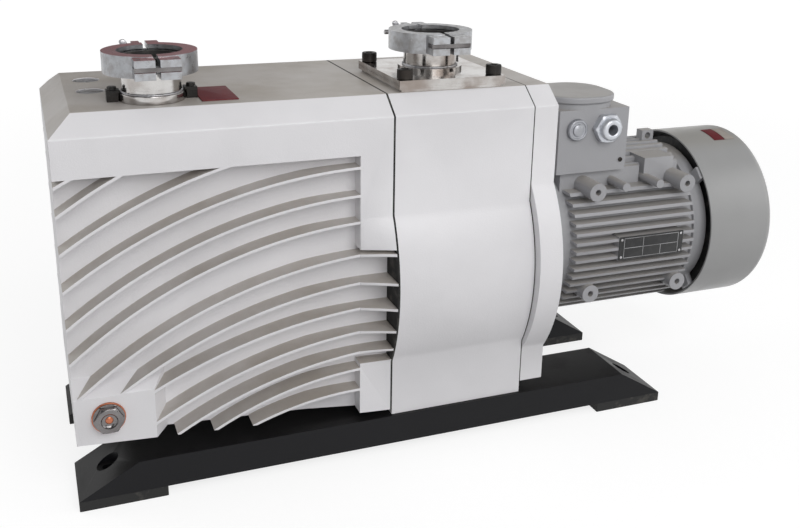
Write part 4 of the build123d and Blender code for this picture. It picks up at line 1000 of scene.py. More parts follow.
def rounded_copy(node: str, radius: float, finish: Finish,
                 segments: int = 2) -> bpy.types.Object:
    """Stand-in for a CAD node with its sharp edges rounded.

    Args:
        node: CAD node that it replaces.
        radius: width of the rounding in metres.
        finish: what its surface is.
        segments: steps of the rounding.

    Returns:
        The new object.
    """
    work = bmesh.new()
    work.from_mesh(NODES[node].data)
    bmesh.ops.remove_doubles(work, verts=work.verts, dist=1e-6)
    bmesh.ops.dissolve_limit(work, angle_limit=math.radians(0.5), verts=work.verts,
                             edges=work.edges)
    mesh = bpy.data.meshes.new(f"{node}_rounded")
    work.to_mesh(mesh)
    work.free()
    piece = dress_mesh(f"{node}_rounded", mesh, finish, BODY_OF[node], SHARP_BEND)
    rounding = piece.modifiers.new("Rounding", "BEVEL")
    rounding.width = radius
    rounding.segments = segments
    rounding.limit_method = "ANGLE"
    rounding.angle_limit = math.radians(SHARP_BEND)
    rounding.use_clamp_overlap = True
    rounding.harden_normals = True
    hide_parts(node)
    return piece


def finish_node(node: str, finish: Finish) -> None:
    """Give a CAD node, kept as it is, a finish."""
    data = NODES[node].data
    material = WARDROBE.material(finish)
    if data.materials:
        for slot in NODES[node].material_slots:
            slot.material = material
    else:
        data.materials.append(material)
    LOG.info("%s: finished as %s", node, finish.name)


@dataclass(frozen=True)
class Span:
    """Box of a CAD node or of one of its solids, in metres."""

    low: Vector
    high: Vector

    @property
    def middle(self) -> Vector:
        """Centre of the box."""
        return (self.low + self.high) / 2

    @property
    def size(self) -> Vector:
        """Edge lengths of the box."""
        return self.high - self.low


def span(node: str) -> Span:
    """Box of a CAD node."""
    return Span(*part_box(node))


def solid_spans(node: str) -> list[Span]:
    """Boxes of a node's separate solids.

    Points that coincide get one number, each face's points take the lowest number of the face,
    and that is repeated until nothing changes, so each solid ends with a number of its own.

    Args:
        node: CAD node.

    Returns:
        One box for each solid, from low X to high X.
    """
    mesh = NODES[node].data
    points = np.empty(3 * len(mesh.vertices))
    mesh.vertices.foreach_get("co", points)
    points = points.reshape(-1, 3)
    loops = np.empty(len(mesh.loops), dtype=np.int64)
    mesh.loops.foreach_get("vertex_index", loops)
    merged = np.unique(np.round(points, 6), axis=0, return_inverse=True)[1].reshape(-1)
    triangles = merged[loops].reshape(-1, 3)
    label = np.arange(merged.max() + 1)
    while True:
        lowest = label[triangles].min(axis=1)
        updated = label.copy()
        np.minimum.at(updated, triangles.reshape(-1), np.repeat(lowest, 3))
        updated = updated[updated]
        if np.array_equal(updated, label):
            break
        label = updated
    point_label = label[merged]
    spans = [Span(Vector(points[point_label == number].min(axis=0)),
                  Vector(points[point_label == number].max(axis=0)))
             for number in np.unique(point_label)]
    return sorted(spans, key=lambda box: tuple(round(part, 4) for part in box.low))


class Wardrobe:
    """Builds each finish's material once."""

    def __init__(self) -> None:
        """Start with no materials."""
        self.made: dict[str, bpy.types.Material] = {}

    def material(self, finish: Finish) -> bpy.types.Material:
        """The finish's material, built at its first use."""
        if finish.name not in self.made:
            self.made[finish.name] = finish.build()
        return self.made[finish.name]


WARDROBE = Wardrobe()


# The housing's dark beige on upward faces is settled dust together with painted shade of the upper faces.
HOUSING_PAINT = SprayedPaint("housing_paint", (0.80, 0.79, 0.81), top_tint=(0.36, 0.32, 0.275),
                             top_tint_amount=0.95, roughness=0.4)
BASE_PAINT = SprayedPaint("base_paint", (0.0055, 0.0055, 0.007), top_tint=(0.014, 0.013, 0.012),
                          top_tint_amount=0.5, roughness=0.42, peel_depth=0.00008, gloss=0.22)
MOTOR_PAINT = SprayedPaint("motor_paint", (0.36, 0.36, 0.375), top_tint=(0.34, 0.31, 0.27),
                           top_tint_amount=0.6, roughness=0.42)
COWL_PAINT = SprayedPaint("cowl_paint", (0.34, 0.34, 0.34), top_tint=(0.32, 0.30, 0.26),
                          top_tint_amount=0.5, roughness=0.3, peel_depth=0.00006)
# The turned neck's brown second tone is tarnish together with a painted brown reflection of the roof.
TURNED_STEEL = WorkedMetal("turned_steel", (0.55, 0.54, 0.53), (0.22, 0.17, 0.14),
                           stretch=(60.0, 60.0, 1400.0), second_tone_amount=0.5, roughness=0.08,
                           gloss_spread=0.12, line_depth=0.00003)
# The inlet plate's dark brown second tone is tarnish together with a painted dark reflection on its top.
GROUND_PLATE = WorkedMetal("ground_plate", (0.50, 0.485, 0.47), (0.20, 0.15, 0.12),
                           stretch=(40.0, 1800.0, 1800.0), second_tone_amount=0.7, roughness=0.1,
                           gloss_spread=0.14, line_depth=0.00003)
CLAMP_METAL = CastSkin("clamp_aluminium", (0.46, 0.47, 0.49), (0.24, 0.22, 0.20),
                       roughness=0.3, scale=600.0, depth=0.00008, metallic=0.9)
# The rosy clamp's pink is a tint laid on the faces that face up.
ROSY_CLAMP_METAL = CastSkin("clamp_aluminium_rosy", (0.40, 0.41, 0.43), (0.22, 0.20, 0.19),
                            roughness=0.3, scale=600.0, depth=0.00008, metallic=0.9,
                            upward_tone=(0.52, 0.17, 0.19), upward_tone_amount=0.85)
ZINC_STEEL = WorkedMetal("zinc_steel", (0.50, 0.50, 0.52), (0.28, 0.24, 0.20), roughness=0.26)
BLACK_STEEL = WorkedMetal("black_steel", (0.020, 0.019, 0.018), (0.05, 0.035, 0.025),
                          roughness=0.26, gloss_spread=0.25, metallic=0.6)
DARK_CHROME = WorkedMetal("dark_chrome", (0.22, 0.21, 0.21), (0.07, 0.06, 0.06),
                          second_tone_amount=0.7, roughness=0.12)
COPPER = WorkedMetal("copper", (0.50, 0.18, 0.10), (0.20, 0.08, 0.05), roughness=0.3)
GREY_IRON = CastSkin("grey_iron", (0.24, 0.24, 0.25), (0.10, 0.09, 0.08), metallic=0.7)
SHAFT_STEEL = WorkedMetal("shaft_steel", (0.60, 0.60, 0.61), (0.38, 0.33, 0.28),
                          stretch=(3000.0, 40.0, 40.0), roughness=0.2)
VANE_COMPOSITE = MouldedPolymer("vane_composite", (0.10, 0.075, 0.045), roughness=0.5)
SPRING_STEEL = WorkedMetal("spring_steel", (0.55, 0.55, 0.56), (0.30, 0.30, 0.42), roughness=0.2)
RUBBER = MouldedPolymer("foot_rubber", (0.012, 0.012, 0.012), roughness=0.75, depth=0.0001)
SEAL_RUBBER = MouldedPolymer("seal_rubber", (0.022, 0.020, 0.020), roughness=0.5)
# Near-black gasket: its own dark fibre, and also painted shade of the seam between the oil box and the
# casing's belly.
GASKET_AND_SEAM_SHADE = MouldedPolymer("gasket_and_seam_shade", (0.012, 0.012, 0.012), roughness=0.85,
                              scale=900.0, top_tint_amount=0.1)
FLEECE = WoundFleece("filter_fleece", (0.75, 0.73, 0.66), (0.45, 0.43, 0.38))
RED_PLATE = BarePlate("red_plate", (0.13, 0.018, 0.024), (0.20, 0.06, 0.06), roughness=0.5,
                      metallic=0.0, gloss=0.15)
BLACK_PLATE = BarePlate("black_plate", (0.010, 0.010, 0.011), (0.04, 0.04, 0.04), roughness=0.35,
                        metallic=0.0)
FIELD_SILVER = WorkedMetal("field_silver", (0.40, 0.40, 0.41), (0.10, 0.10, 0.10),
                           second_tone_amount=0.7, roughness=0.35)
FAN_PLASTIC = MouldedPolymer("fan_plastic", (0.03, 0.03, 0.032), roughness=0.5)
SPIDER_PLASTIC = MouldedPolymer("spider_plastic", (0.45, 0.05, 0.03), roughness=0.45)
GLAND_METAL = WorkedMetal("gland_nickel", (0.62, 0.64, 0.68), (0.35, 0.35, 0.36), roughness=0.3,
                          metallic=0.7)
PLUG_METAL = WorkedMetal("plug_nickel", (0.40, 0.41, 0.44), (0.20, 0.19, 0.18), roughness=0.28,
                         metallic=0.8)
LABEL_FIELD = BarePlate("label_field", (0.36, 0.33, 0.30), (0.25, 0.20, 0.17), roughness=0.45,
                        metallic=0.0, gloss=0.3)


def hexagon_radius(angle: np.ndarray, flats: float) -> np.ndarray:
    """Distance from a hexagon's centre to its side: half flats / cos of the angle from the side."""
    sector = math.pi / 3
    return flats / 2 / np.cos((angle + sector / 2) % sector - sector / 2)


@dataclass(frozen=True)
class CapScrew:
    """Socket head cap screw along +Z, its head's seat at the origin."""

    head_radius: float
    head_height: float
    socket_flats: float
    socket_depth: float
    shank_radius: float
    shank_length: float
    knurls: int = 30
    edge: float = 0.6 * MM
    knurl_depth: float = 0.25 * MM
    thread_pitch: float = 1.25 * MM
    thread_root: float = 0.9
    socket_bevel: float = 1.12

    def shape(self) -> Shape:
        """Rows of rings: threaded shank, knurled side, chamfered top and hexagonal socket.

        The side's radius is R - d(1 - cos(n a)) / 2 for n knurls of depth d, the socket's is the
        hexagon's, and the shank's alternates between its crest and its root.

        Returns:
            The screw's surface.
        """
        columns = 4 * self.knurls
        angle = ring_angles(columns)
        socket = hexagon_radius(angle, self.socket_flats)
        side = self.head_radius - self.knurl_depth * (1 - np.cos(self.knurls * angle)) / 2
        turns = max(2, int(self.shank_length / self.thread_pitch))
        shank_height = np.linspace(-self.shank_length, 0.0, 2 * turns + 1)
        crest = np.where(np.arange(2 * turns + 1) % 2 == 0, self.thread_root, 1.0)
        top = self.head_height
        rows = [(0.0, -self.shank_length), *zip(crest * self.shank_radius, shank_height)]
        rows += [
            (self.head_radius - self.edge, 0.0),
            (self.head_radius, self.edge),
            (side, 2 * self.edge),
            (side, top - 3 * self.edge),
            (self.head_radius, top - 2 * self.edge),
            (self.head_radius - self.edge / 3, top - self.edge / 2),
            (self.head_radius - self.edge, top),
            (self.socket_bevel * socket, top),
            (socket, top - self.edge),
            (socket, top - self.socket_depth),
            (0.0, top - self.socket_depth - self.edge),
        ]
        return stacked(rows, columns)


def screw_row(node: str, name: str, screw: CapScrew, finish: Finish, axis: Axis,
              flip: bool = False, head_room: float = 0.0) -> None:
    """Cap screws in place of a node's solids, each with its head at one end of a solid's box.

    Args:
        node: CAD node that they replace.
        name: piece name.
        screw: the screw.
        finish: what its surface is.
        axis: row axis that the screws run along.
        flip: whether the heads are at the low end.
        head_room: what the head takes of a solid's length, for shanks as long as the rest.
    """
    shapes = []
    for box in solid_spans(node):
        if head_room:
            screw = replace(screw, shank_length=box.size[axis.value] - head_room)
        seat = box.middle
        if flip:
            seat[axis.value] = box.low[axis.value] + screw.head_height
        else:
            seat[axis.value] = box.high[axis.value] - screw.head_height
        shapes.append(screw.shape().laid(axis, seat, flip))
    piece = add_piece(name, joined(shapes), finish, "pump")
    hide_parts(node)


@dataclass(frozen=True)
class HexPlug:
    """Hexagon head along +Z with a chamfered crown and a round dimple, its seat at the origin."""

    flats: float
    height: float
    dimple_radius: float
    dimple_depth: float
    collar_radius: float
    collar_height: float
    columns: int = 96
    crown_share: float = 0.96
    crown_slope: float = math.radians(30.0)
    collar_share: float = 0.7

    def shape(self) -> Shape:
        """Rows of rings of radius min(hexagon, limit), where the limit falls over the crown.

        Returns:
            The head's surface.
        """
        hexagon = hexagon_radius(ring_angles(self.columns), self.flats)
        crown = self.crown_share * self.flats / 2
        limits = np.linspace(float(hexagon.max()), crown, 6)
        falls = (limits - crown) * math.tan(self.crown_slope)
        rows = [(0.0, 0.0), (self.collar_radius, 0.0),
                (self.collar_radius, self.collar_share * self.collar_height),
                (np.minimum(hexagon, self.collar_radius), self.collar_height),
                (hexagon, self.collar_height)]
        rows += [(np.minimum(hexagon, limit), self.height - fall)
                 for limit, fall in zip(limits, falls)]
        rows += [(self.dimple_radius * math.cos(part),
                  self.height - self.dimple_depth * math.sin(part))
                 for part in np.linspace(0.0, math.pi / 2, 5)]
        return stacked(rows, self.columns)


@dataclass
class BaseFrame:
    """Black base rails, rubber pads and the bolts that hold the casing on them."""

    rail_edge: float = 1.6 * MM
    pad_edge: float = 1.2 * MM
    bolt_edge: float = 0.5 * MM

    def build(self) -> None:
        """Build the rails, pads and bolts."""
        rounded_copy("base_rail_front", self.rail_edge, BASE_PAINT, segments=3)
        rounded_copy("base_rail_rear", self.rail_edge, BASE_PAINT, segments=3)
        rounded_copy("foot_pads", self.pad_edge, RUBBER)
        rounded_copy("base_bolts", self.bolt_edge, ZINC_STEEL)


@dataclass
class Housing:
    """Ribbed oil box, pump casing and lantern ring with their gaskets and screws."""

    cast_edge: float = 1.1 * MM
    ring_edge: float = 1.2 * MM
    lantern_screw: CapScrew = CapScrew(8.1 * MM, 9.8 * MM, 7.5 * MM, 5.0 * MM, 4.9 * MM, 48.0 * MM)
    box_screw: CapScrew = CapScrew(6.9 * MM, 7.8 * MM, 6.2 * MM, 4.0 * MM, 3.9 * MM, 0.0,
                                   thread_pitch=8.0 * MM)
    box_head_room: float = 8.0 * MM

    def build(self) -> None:
        """Build the castings and what joins them."""
        for node, edge in (("oil_box", self.cast_edge), ("pump_casing", self.cast_edge),
                           ("cover_ring", self.ring_edge)):
            rounded_copy(node, edge, HOUSING_PAINT, segments=3)
        # The near-black gaskets also stand in as painted shade of the seam by the belly.
        finish_node("seam_gaskets", GASKET_AND_SEAM_SHADE)
        screw_row("lantern_screws", "lantern_cap_screws", self.lantern_screw, ZINC_STEEL, Axis.X)
        screw_row("box_tie_screws", "box_cap_screws", self.box_screw, ZINC_STEEL, Axis.X,
                  flip=True, head_room=self.box_head_room)


@dataclass(frozen=True)
class Port:
    """Vacuum port: turned neck with its flange, standing on claws or on a square plate."""

    base_radius: float
    base_height: float
    neck_radius: float = 28.0 * MM
    bore: float = 25.0 * MM
    flange_radius: float = 37.5 * MM
    rim: float = 2.134 * MM
    taper: float = 0.268
    edge: float = 0.9 * MM
    ripples: int = 44
    bead_radius: float = 1.5 * MM
    bead_swell: float = 0.12
    bead_flatness: float = 0.8

    def flange_profile(self, low: float, top: float) -> np.ndarray:
        """Closed profile of the neck from its foot to the flange's face.

        Args:
            low: height of the foot.
            top: height of the flange's face.

        Returns:
            Radius and height of each profile point.
        """
        under = top - self.rim - self.taper * (self.flange_radius - self.neck_radius)
        step = low + self.base_height
        corners = [(self.bore, low), (self.base_radius, low), (self.base_radius, step),
                   (self.neck_radius, step), (self.neck_radius, under),
                   (self.flange_radius, top - self.rim), (self.flange_radius, top),
                   (self.bore, top)]
        return rounded(corners, self.edge, steps=5)

    def weld(self, height: float) -> Shape:
        """Weld bead round the neck's foot: a torus whose tube swells with each ripple.

        The tube's radius is w(1 + s sin(n a)) for n ripples, and its height is flattened.

        Args:
            height: height of the bead's middle.

        Returns:
            The bead.
        """
        angle = ring_angles(4 * self.ripples)[None, :]
        tube = ring_angles(14)[:, None]
        width = self.bead_radius * (1 + self.bead_swell * np.sin(self.ripples * angle))
        return ringed(self.neck_radius + width * np.cos(tube),
                      height + self.bead_flatness * width * np.sin(tube), closed=True)


@dataclass
class Ports:
    """Both ports with their screws, claws, sealing rings, inlet valve and demister."""

    exhaust_neck: Port = Port(base_radius=31.0 * MM, base_height=8.0 * MM)
    inlet_neck: Port = Port(base_radius=34.0 * MM, base_height=4.0 * MM)
    bead_rise: float = 0.6 * MM
    inlet_bead_height: float = 404.6 * MM
    inlet_bead_y: float = -34.0 * MM
    claw_edge: float = 0.7 * MM
    plate_edge: float = 0.8 * MM
    valve_edge: float = 0.5 * MM
    plate_screw: CapScrew = CapScrew(8.1 * MM, 9.9 * MM, 8.0 * MM, 5.0 * MM, 4.9 * MM, 0.0)
    pleats: int = 48
    pleat_depth: float = 2.0 * MM
    pleat_inset: float = 0.4 * MM
    cap_height: float = 6.0 * MM
    cap_edge: float = 0.8 * MM
    sleeve_bore: float = 19.0 * MM

    def build(self) -> None:
        """Build the exhaust port, the inlet port and what holds them."""
        exhaust = span("exhaust_port")
        centre = (exhaust.middle.x, exhaust.middle.y, 0.0)
        profile = self.exhaust_neck.flange_profile(exhaust.low.z, exhaust.high.z)
        body = add_piece("exhaust_neck", revolve(profile, 128, closed=True).moved(centre),
                         TURNED_STEEL, "pump")
        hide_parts("exhaust_port")
        bead_height = exhaust.low.z + self.exhaust_neck.base_height + self.bead_rise
        self.bead("exhaust_weld_bead", self.exhaust_neck.weld(bead_height).moved(centre))
        rounded_copy("exhaust_claws", self.claw_edge, BLACK_STEEL)
        rounded_copy("inlet_port", self.plate_edge, GROUND_PLATE, segments=3)
        inlet = span("inlet_clamp_left")
        mate = span("inlet_clamp_right")
        middle = ((inlet.low.x + mate.high.x) / 2, self.inlet_bead_y, 0.0)
        self.bead("inlet_weld_bead", self.inlet_neck.weld(self.inlet_bead_height).moved(middle))
        screw_row("inlet_plate_screws", "inlet_cap_screws", self.plate_screw, BLACK_STEEL, Axis.Z,
                  head_room=self.plate_screw.head_height)
        finish_node("port_seals", SEAL_RUBBER)
        rounded_copy("inlet_valve", self.valve_edge, SEAL_RUBBER)
        self.demister()

    @staticmethod
    def bead(name: str, shape: Shape) -> None:
        """Add one weld bead."""
        add_piece(name, shape, ZINC_STEEL, "pump", smooth=60.0)

    def demister(self) -> None:
        """Pleated fleece sleeve: radius R - d(1 - cos(n a)) / 2 for n pleats, between two caps."""
        box = span("demister")
        centre = (box.middle.x, box.middle.y, 0.0)
        outer = box.size.x / 2
        angle = ring_angles(6 * self.pleats)
        swing = self.pleat_depth * (1 - np.cos(self.pleats * angle)) / 2
        side = outer - self.pleat_inset - swing
        low, top = box.low.z + self.cap_height, box.high.z - self.cap_height
        sleeve = stacked([(self.sleeve_bore, low), (side, low), (side, top),
                          (self.sleeve_bore, top)], len(angle), closed=True)
        fleece = add_piece("demister_fleece", sleeve.moved(centre), FLEECE, "pump", smooth=60.0)
        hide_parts("demister")
        floor_cap = washer(0.0, outer, box.low.z, low, self.cap_edge, 96)
        roof_cap = washer(self.sleeve_bore, outer, top, box.high.z, self.cap_edge, 96)
        add_piece("demister_caps", joined([floor_cap, roof_cap]).moved(centre), ZINC_STEEL, "pump")


@dataclass
class RingClamp:
    """Ring clamp of one port: two half rings, their link, the swinging bolt and the wing nut."""

    port: str
    skin: CastSkin
    ring_edge: float = 0.9 * MM
    rod_radius: float = 2.6 * MM
    eye_radius: float = 5.0 * MM
    eye_hole: float = 2.56 * MM
    eye_half: float = 3.0 * MM
    eye_edge: float = 0.5 * MM
    rod_start: float = 3.8 * MM
    pitch: float = 1.0 * MM
    thread_root: float = 0.88
    hub_length: float = 10.0 * MM
    hub_radii: tuple[float, float] = (5.2 * MM, 6.5 * MM)
    hub_play: float = 0.05 * MM
    hub_edge: float = 0.8 * MM
    wing_root: float = 4.0 * MM
    wing_cuts: tuple[float, float, float] = (2.0 * MM, 0.0, 3.0 * MM)
    wing_rises: tuple[float, ...] = (8.4 * MM, 1.2 * MM, -1.5 * MM, 3.5 * MM, 6.8 * MM)
    wing_corner: float = 2.4 * MM
    wing_half: float = 1.5 * MM
    wing_edge: float = 0.9 * MM

    def build(self) -> None:
        """Build the halves, the bolt and the nut."""
        rounded_copy(f"{self.port}_clamp_left", self.ring_edge, self.skin, segments=3)
        rounded_copy(f"{self.port}_clamp_right", self.ring_edge, self.skin, segments=3)
        self.swing_bolt()
        self.wing_nut()

    def swing_bolt(self) -> None:
        """Eye round the pin and a rod along X whose radius alternates over its thread."""
        box = span(f"{self.port}_swing_bolt")
        pin = (box.high.x - self.eye_radius, box.middle.y, box.middle.z)
        eye = washer(self.eye_hole, self.eye_radius, -self.eye_half, self.eye_half, self.eye_edge,
                     40)
        length = pin[0] - box.low.x
        turns = int((length - self.eye_radius) / self.pitch)
        height = np.linspace(-length, -self.rod_start, 2 * turns + 1)
        crest = np.where(np.arange(len(height)) % 2 == 0, self.thread_root, 1.0)
        rod = stacked([(0.0, height[0]), *zip(crest * self.rod_radius, height), (0.0, height[-1])],
                      24)
        shape = joined([eye.laid(Axis.Z, pin), rod.laid(Axis.X, pin)])
        bolt = add_piece(f"{self.port}_eye_bolt", shape, ZINC_STEEL, f"{self.port}_swing_bolt")
        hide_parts(f"{self.port}_swing_bolt")

    def wing_nut(self) -> None:
        """Tapered hub along X with two rounded wings."""
        box = span(f"{self.port}_wing_nut")
        reach = box.size.z / 2
        centre = (box.high.x - self.hub_length, box.middle.y, box.middle.z)
        bore = self.rod_radius + self.hub_play
        small, large = self.hub_radii
        hub = revolve(rounded([(bore, 0.0), (small, 0.0), (large, self.hub_length),
                               (bore, self.hub_length)], self.hub_edge), 40, closed=True)
        shapes = [hub.laid(Axis.X, centre)]
        parts = [self.wing_root, self.wing_root, *(reach - cut for cut in self.wing_cuts)]
        for side in (1, -1):
            corners = [(side * part, rise) for part, rise in zip(parts, self.wing_rises)]
            outline = rounded(corners[::side], self.wing_corner, steps=5)
            wing = slab(outline, soft_levels(-self.wing_half, self.wing_half, self.wing_edge))
            shapes.append(wing.laid(Axis.Y, centre))
        nut = add_piece(f"{self.port}_winged_nut", joined(shapes), ZINC_STEEL,
                        f"{self.port}_wing_nut")
        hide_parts(f"{self.port}_wing_nut")


@dataclass
class RoofFittings:
    """Sunk plugs, the roof's red plate, the fields of the cowl's label and the clamps' links."""

    plug_edge: float = 0.5 * MM
    link_edge: float = 0.4 * MM
    plate_corner: float = 1.2 * MM
    plate_edge: float = 0.25 * MM
    label_start: float = 94.0
    label_end: float = 110.0
    label_low: float = 0.2 * MM
    label_high: float = 0.6 * MM
    label_edge: float = 0.15 * MM
    red_share: tuple[float, float] = (0.0, 0.45)
    pale_share: tuple[float, float] = (0.47, 0.86)

    def build(self) -> None:
        """Build the small pieces on the roof and the label."""
        rounded_copy("oil_filler_plug", self.plug_edge, ZINC_STEEL)
        rounded_copy("gas_ballast_plug", self.plug_edge, ZINC_STEEL)
        rounded_copy("clamp_links", self.link_edge, DARK_CHROME)
        roof_box, label_box = solid_spans("red_plates")
        outline = rounded(rectangle(roof_box.size.x, roof_box.size.y), self.plate_corner)
        plate = slab(outline, soft_levels(0.0, roof_box.size.z, self.plate_edge))
        place = (roof_box.middle.x, roof_box.middle.y, roof_box.low.z)
        piece = add_piece("bare_roof_plate", plate.moved(place), RED_PLATE, "pump")
        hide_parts("red_plates")
        for name, shares, finish in (("label_red_field", self.red_share, RED_PLATE),
                                     ("label_pale_field", self.pale_share, LABEL_FIELD)):
            ends = (label_box.low.x + share * label_box.size.x for share in shares)
            add_piece(name, self.curved_label(*ends), finish, "pump")

    def curved_label(self, left: float, right: float) -> Shape:
        """Thin sheet on the cowl: (x, (R + h) cos a, (R + h) sin a) for its section (x, h).

        Args:
            left: its left end.
            right: its right end.

        Returns:
            The closed sheet.
        """
        cowl = span("fan_cowl")
        section = rounded([(left, self.label_low), (right, self.label_low),
                           (right, self.label_high), (left, self.label_high)],
                          self.label_edge, steps=2)
        angle = np.radians(np.linspace(self.label_start, self.label_end, 13))[:, None]
        reach = cowl.size.z / 2 + section[None, :, 1]
        along = section[None, :, 0] + 0 * angle
        grid = np.stack([along, reach * np.cos(angle), reach * np.sin(angle)], axis=-1)
        return woven(grid, capped=True).moved((0.0, cowl.middle.y, cowl.middle.z))


@dataclass
class DrainFitting:
    """Hexagon drain plug with its dimple and copper washer on the front pad."""

    flats: float = 25.0 * MM
    washer_radius: float = 16.0 * MM
    washer_thickness: float = 2.0 * MM
    washer_edge: float = 0.5 * MM
    washer_play: float = 0.2 * MM
    thread_radius: float = 9.9 * MM
    thread_edge: float = 1.0 * MM
    wall_y: float = -120.0 * MM
    squeeze: float = 0.3 * MM
    dimple_radius: float = 8.0 * MM
    dimple_depth: float = 3.0 * MM
    collar_radius: float = 15.0 * MM
    collar_height: float = 1.4 * MM
    tip_radius: float = 4.0 * MM
    tip_height: float = 1.6 * MM
    seat_gap: float = 0.05 * MM

    def build(self) -> None:
        """Build the plug and its washer."""
        box = span("drain_plug")
        x, face, z = box.middle.x, box.low.y, box.middle.z
        head_height = self.wall_y - face - self.washer_thickness - self.squeeze
        head = HexPlug(self.flats, head_height, self.dimple_radius, self.dimple_depth,
                       self.collar_radius, self.collar_height)
        seat = (x, face + head_height, z)
        thread = washer(0.0, self.thread_radius, 0.0, box.high.y - seat[1], self.thread_edge, 48)
        plug = add_piece("drain_hex_plug", joined([head.shape().laid(Axis.Y, seat, flip=True),
                                                   thread.laid(Axis.Y, seat)]),
                         DARK_CHROME, "drain_plug")
        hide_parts("drain_plug")
        tip = dome(self.tip_radius, self.tip_height, 5, 32)
        add_piece("drain_copper_tip", tip.laid(Axis.Y, (x, face + self.dimple_depth, z), flip=True),
                  COPPER, "drain_plug")
        ring = washer(self.thread_radius + self.washer_play, self.washer_radius, 0.0,
                      self.washer_thickness, self.washer_edge, 72)
        add_piece("drain_copper_washer", ring.laid(Axis.Y, (x, seat[1] + self.seat_gap, z)), COPPER,
                  "drain_plug")


@dataclass
class PumpModule:
    """Plates, cylinders, rotor, vanes and valve inside the casing."""

    plate_edge: float = 0.5 * MM
    rod_edge: float = 0.4 * MM
    ground_edge: float = 0.3 * MM

    def build(self) -> None:
        """Finish every inner piece of the pump."""
        for node in ("drive_side_plate", "high_stage_cylinder", "centre_plate",
                     "low_stage_cylinder", "end_plate", "oil_pump"):
            rounded_copy(node, self.plate_edge, GREY_IRON)
        rounded_copy("module_tie_rods", self.rod_edge, ZINC_STEEL)
        rounded_copy("pump_rotor", self.ground_edge, SHAFT_STEEL)
        for node in ("high_vane_front", "high_vane_rear", "low_vane_front", "low_vane_rear"):
            rounded_copy(node, self.ground_edge, VANE_COMPOSITE)
        finish_node("exhaust_valve_leaf", SPRING_STEEL)
        rounded_copy("exhaust_valve_stop", self.ground_edge, ZINC_STEEL)
        rounded_copy("shaft_seal", self.plate_edge, SEAL_RUBBER)


@dataclass
class Coupling:
    """Claw coupling between the shafts."""

    hub_edge: float = 0.6 * MM
    star_edge: float = 0.5 * MM

    def build(self) -> None:
        """Finish the hubs and the star."""
        rounded_copy("pump_hub", self.hub_edge, GREY_IRON)
        rounded_copy("motor_hub", self.hub_edge, GREY_IRON)
        rounded_copy("coupling_spider", self.star_edge, SPIDER_PLASTIC)


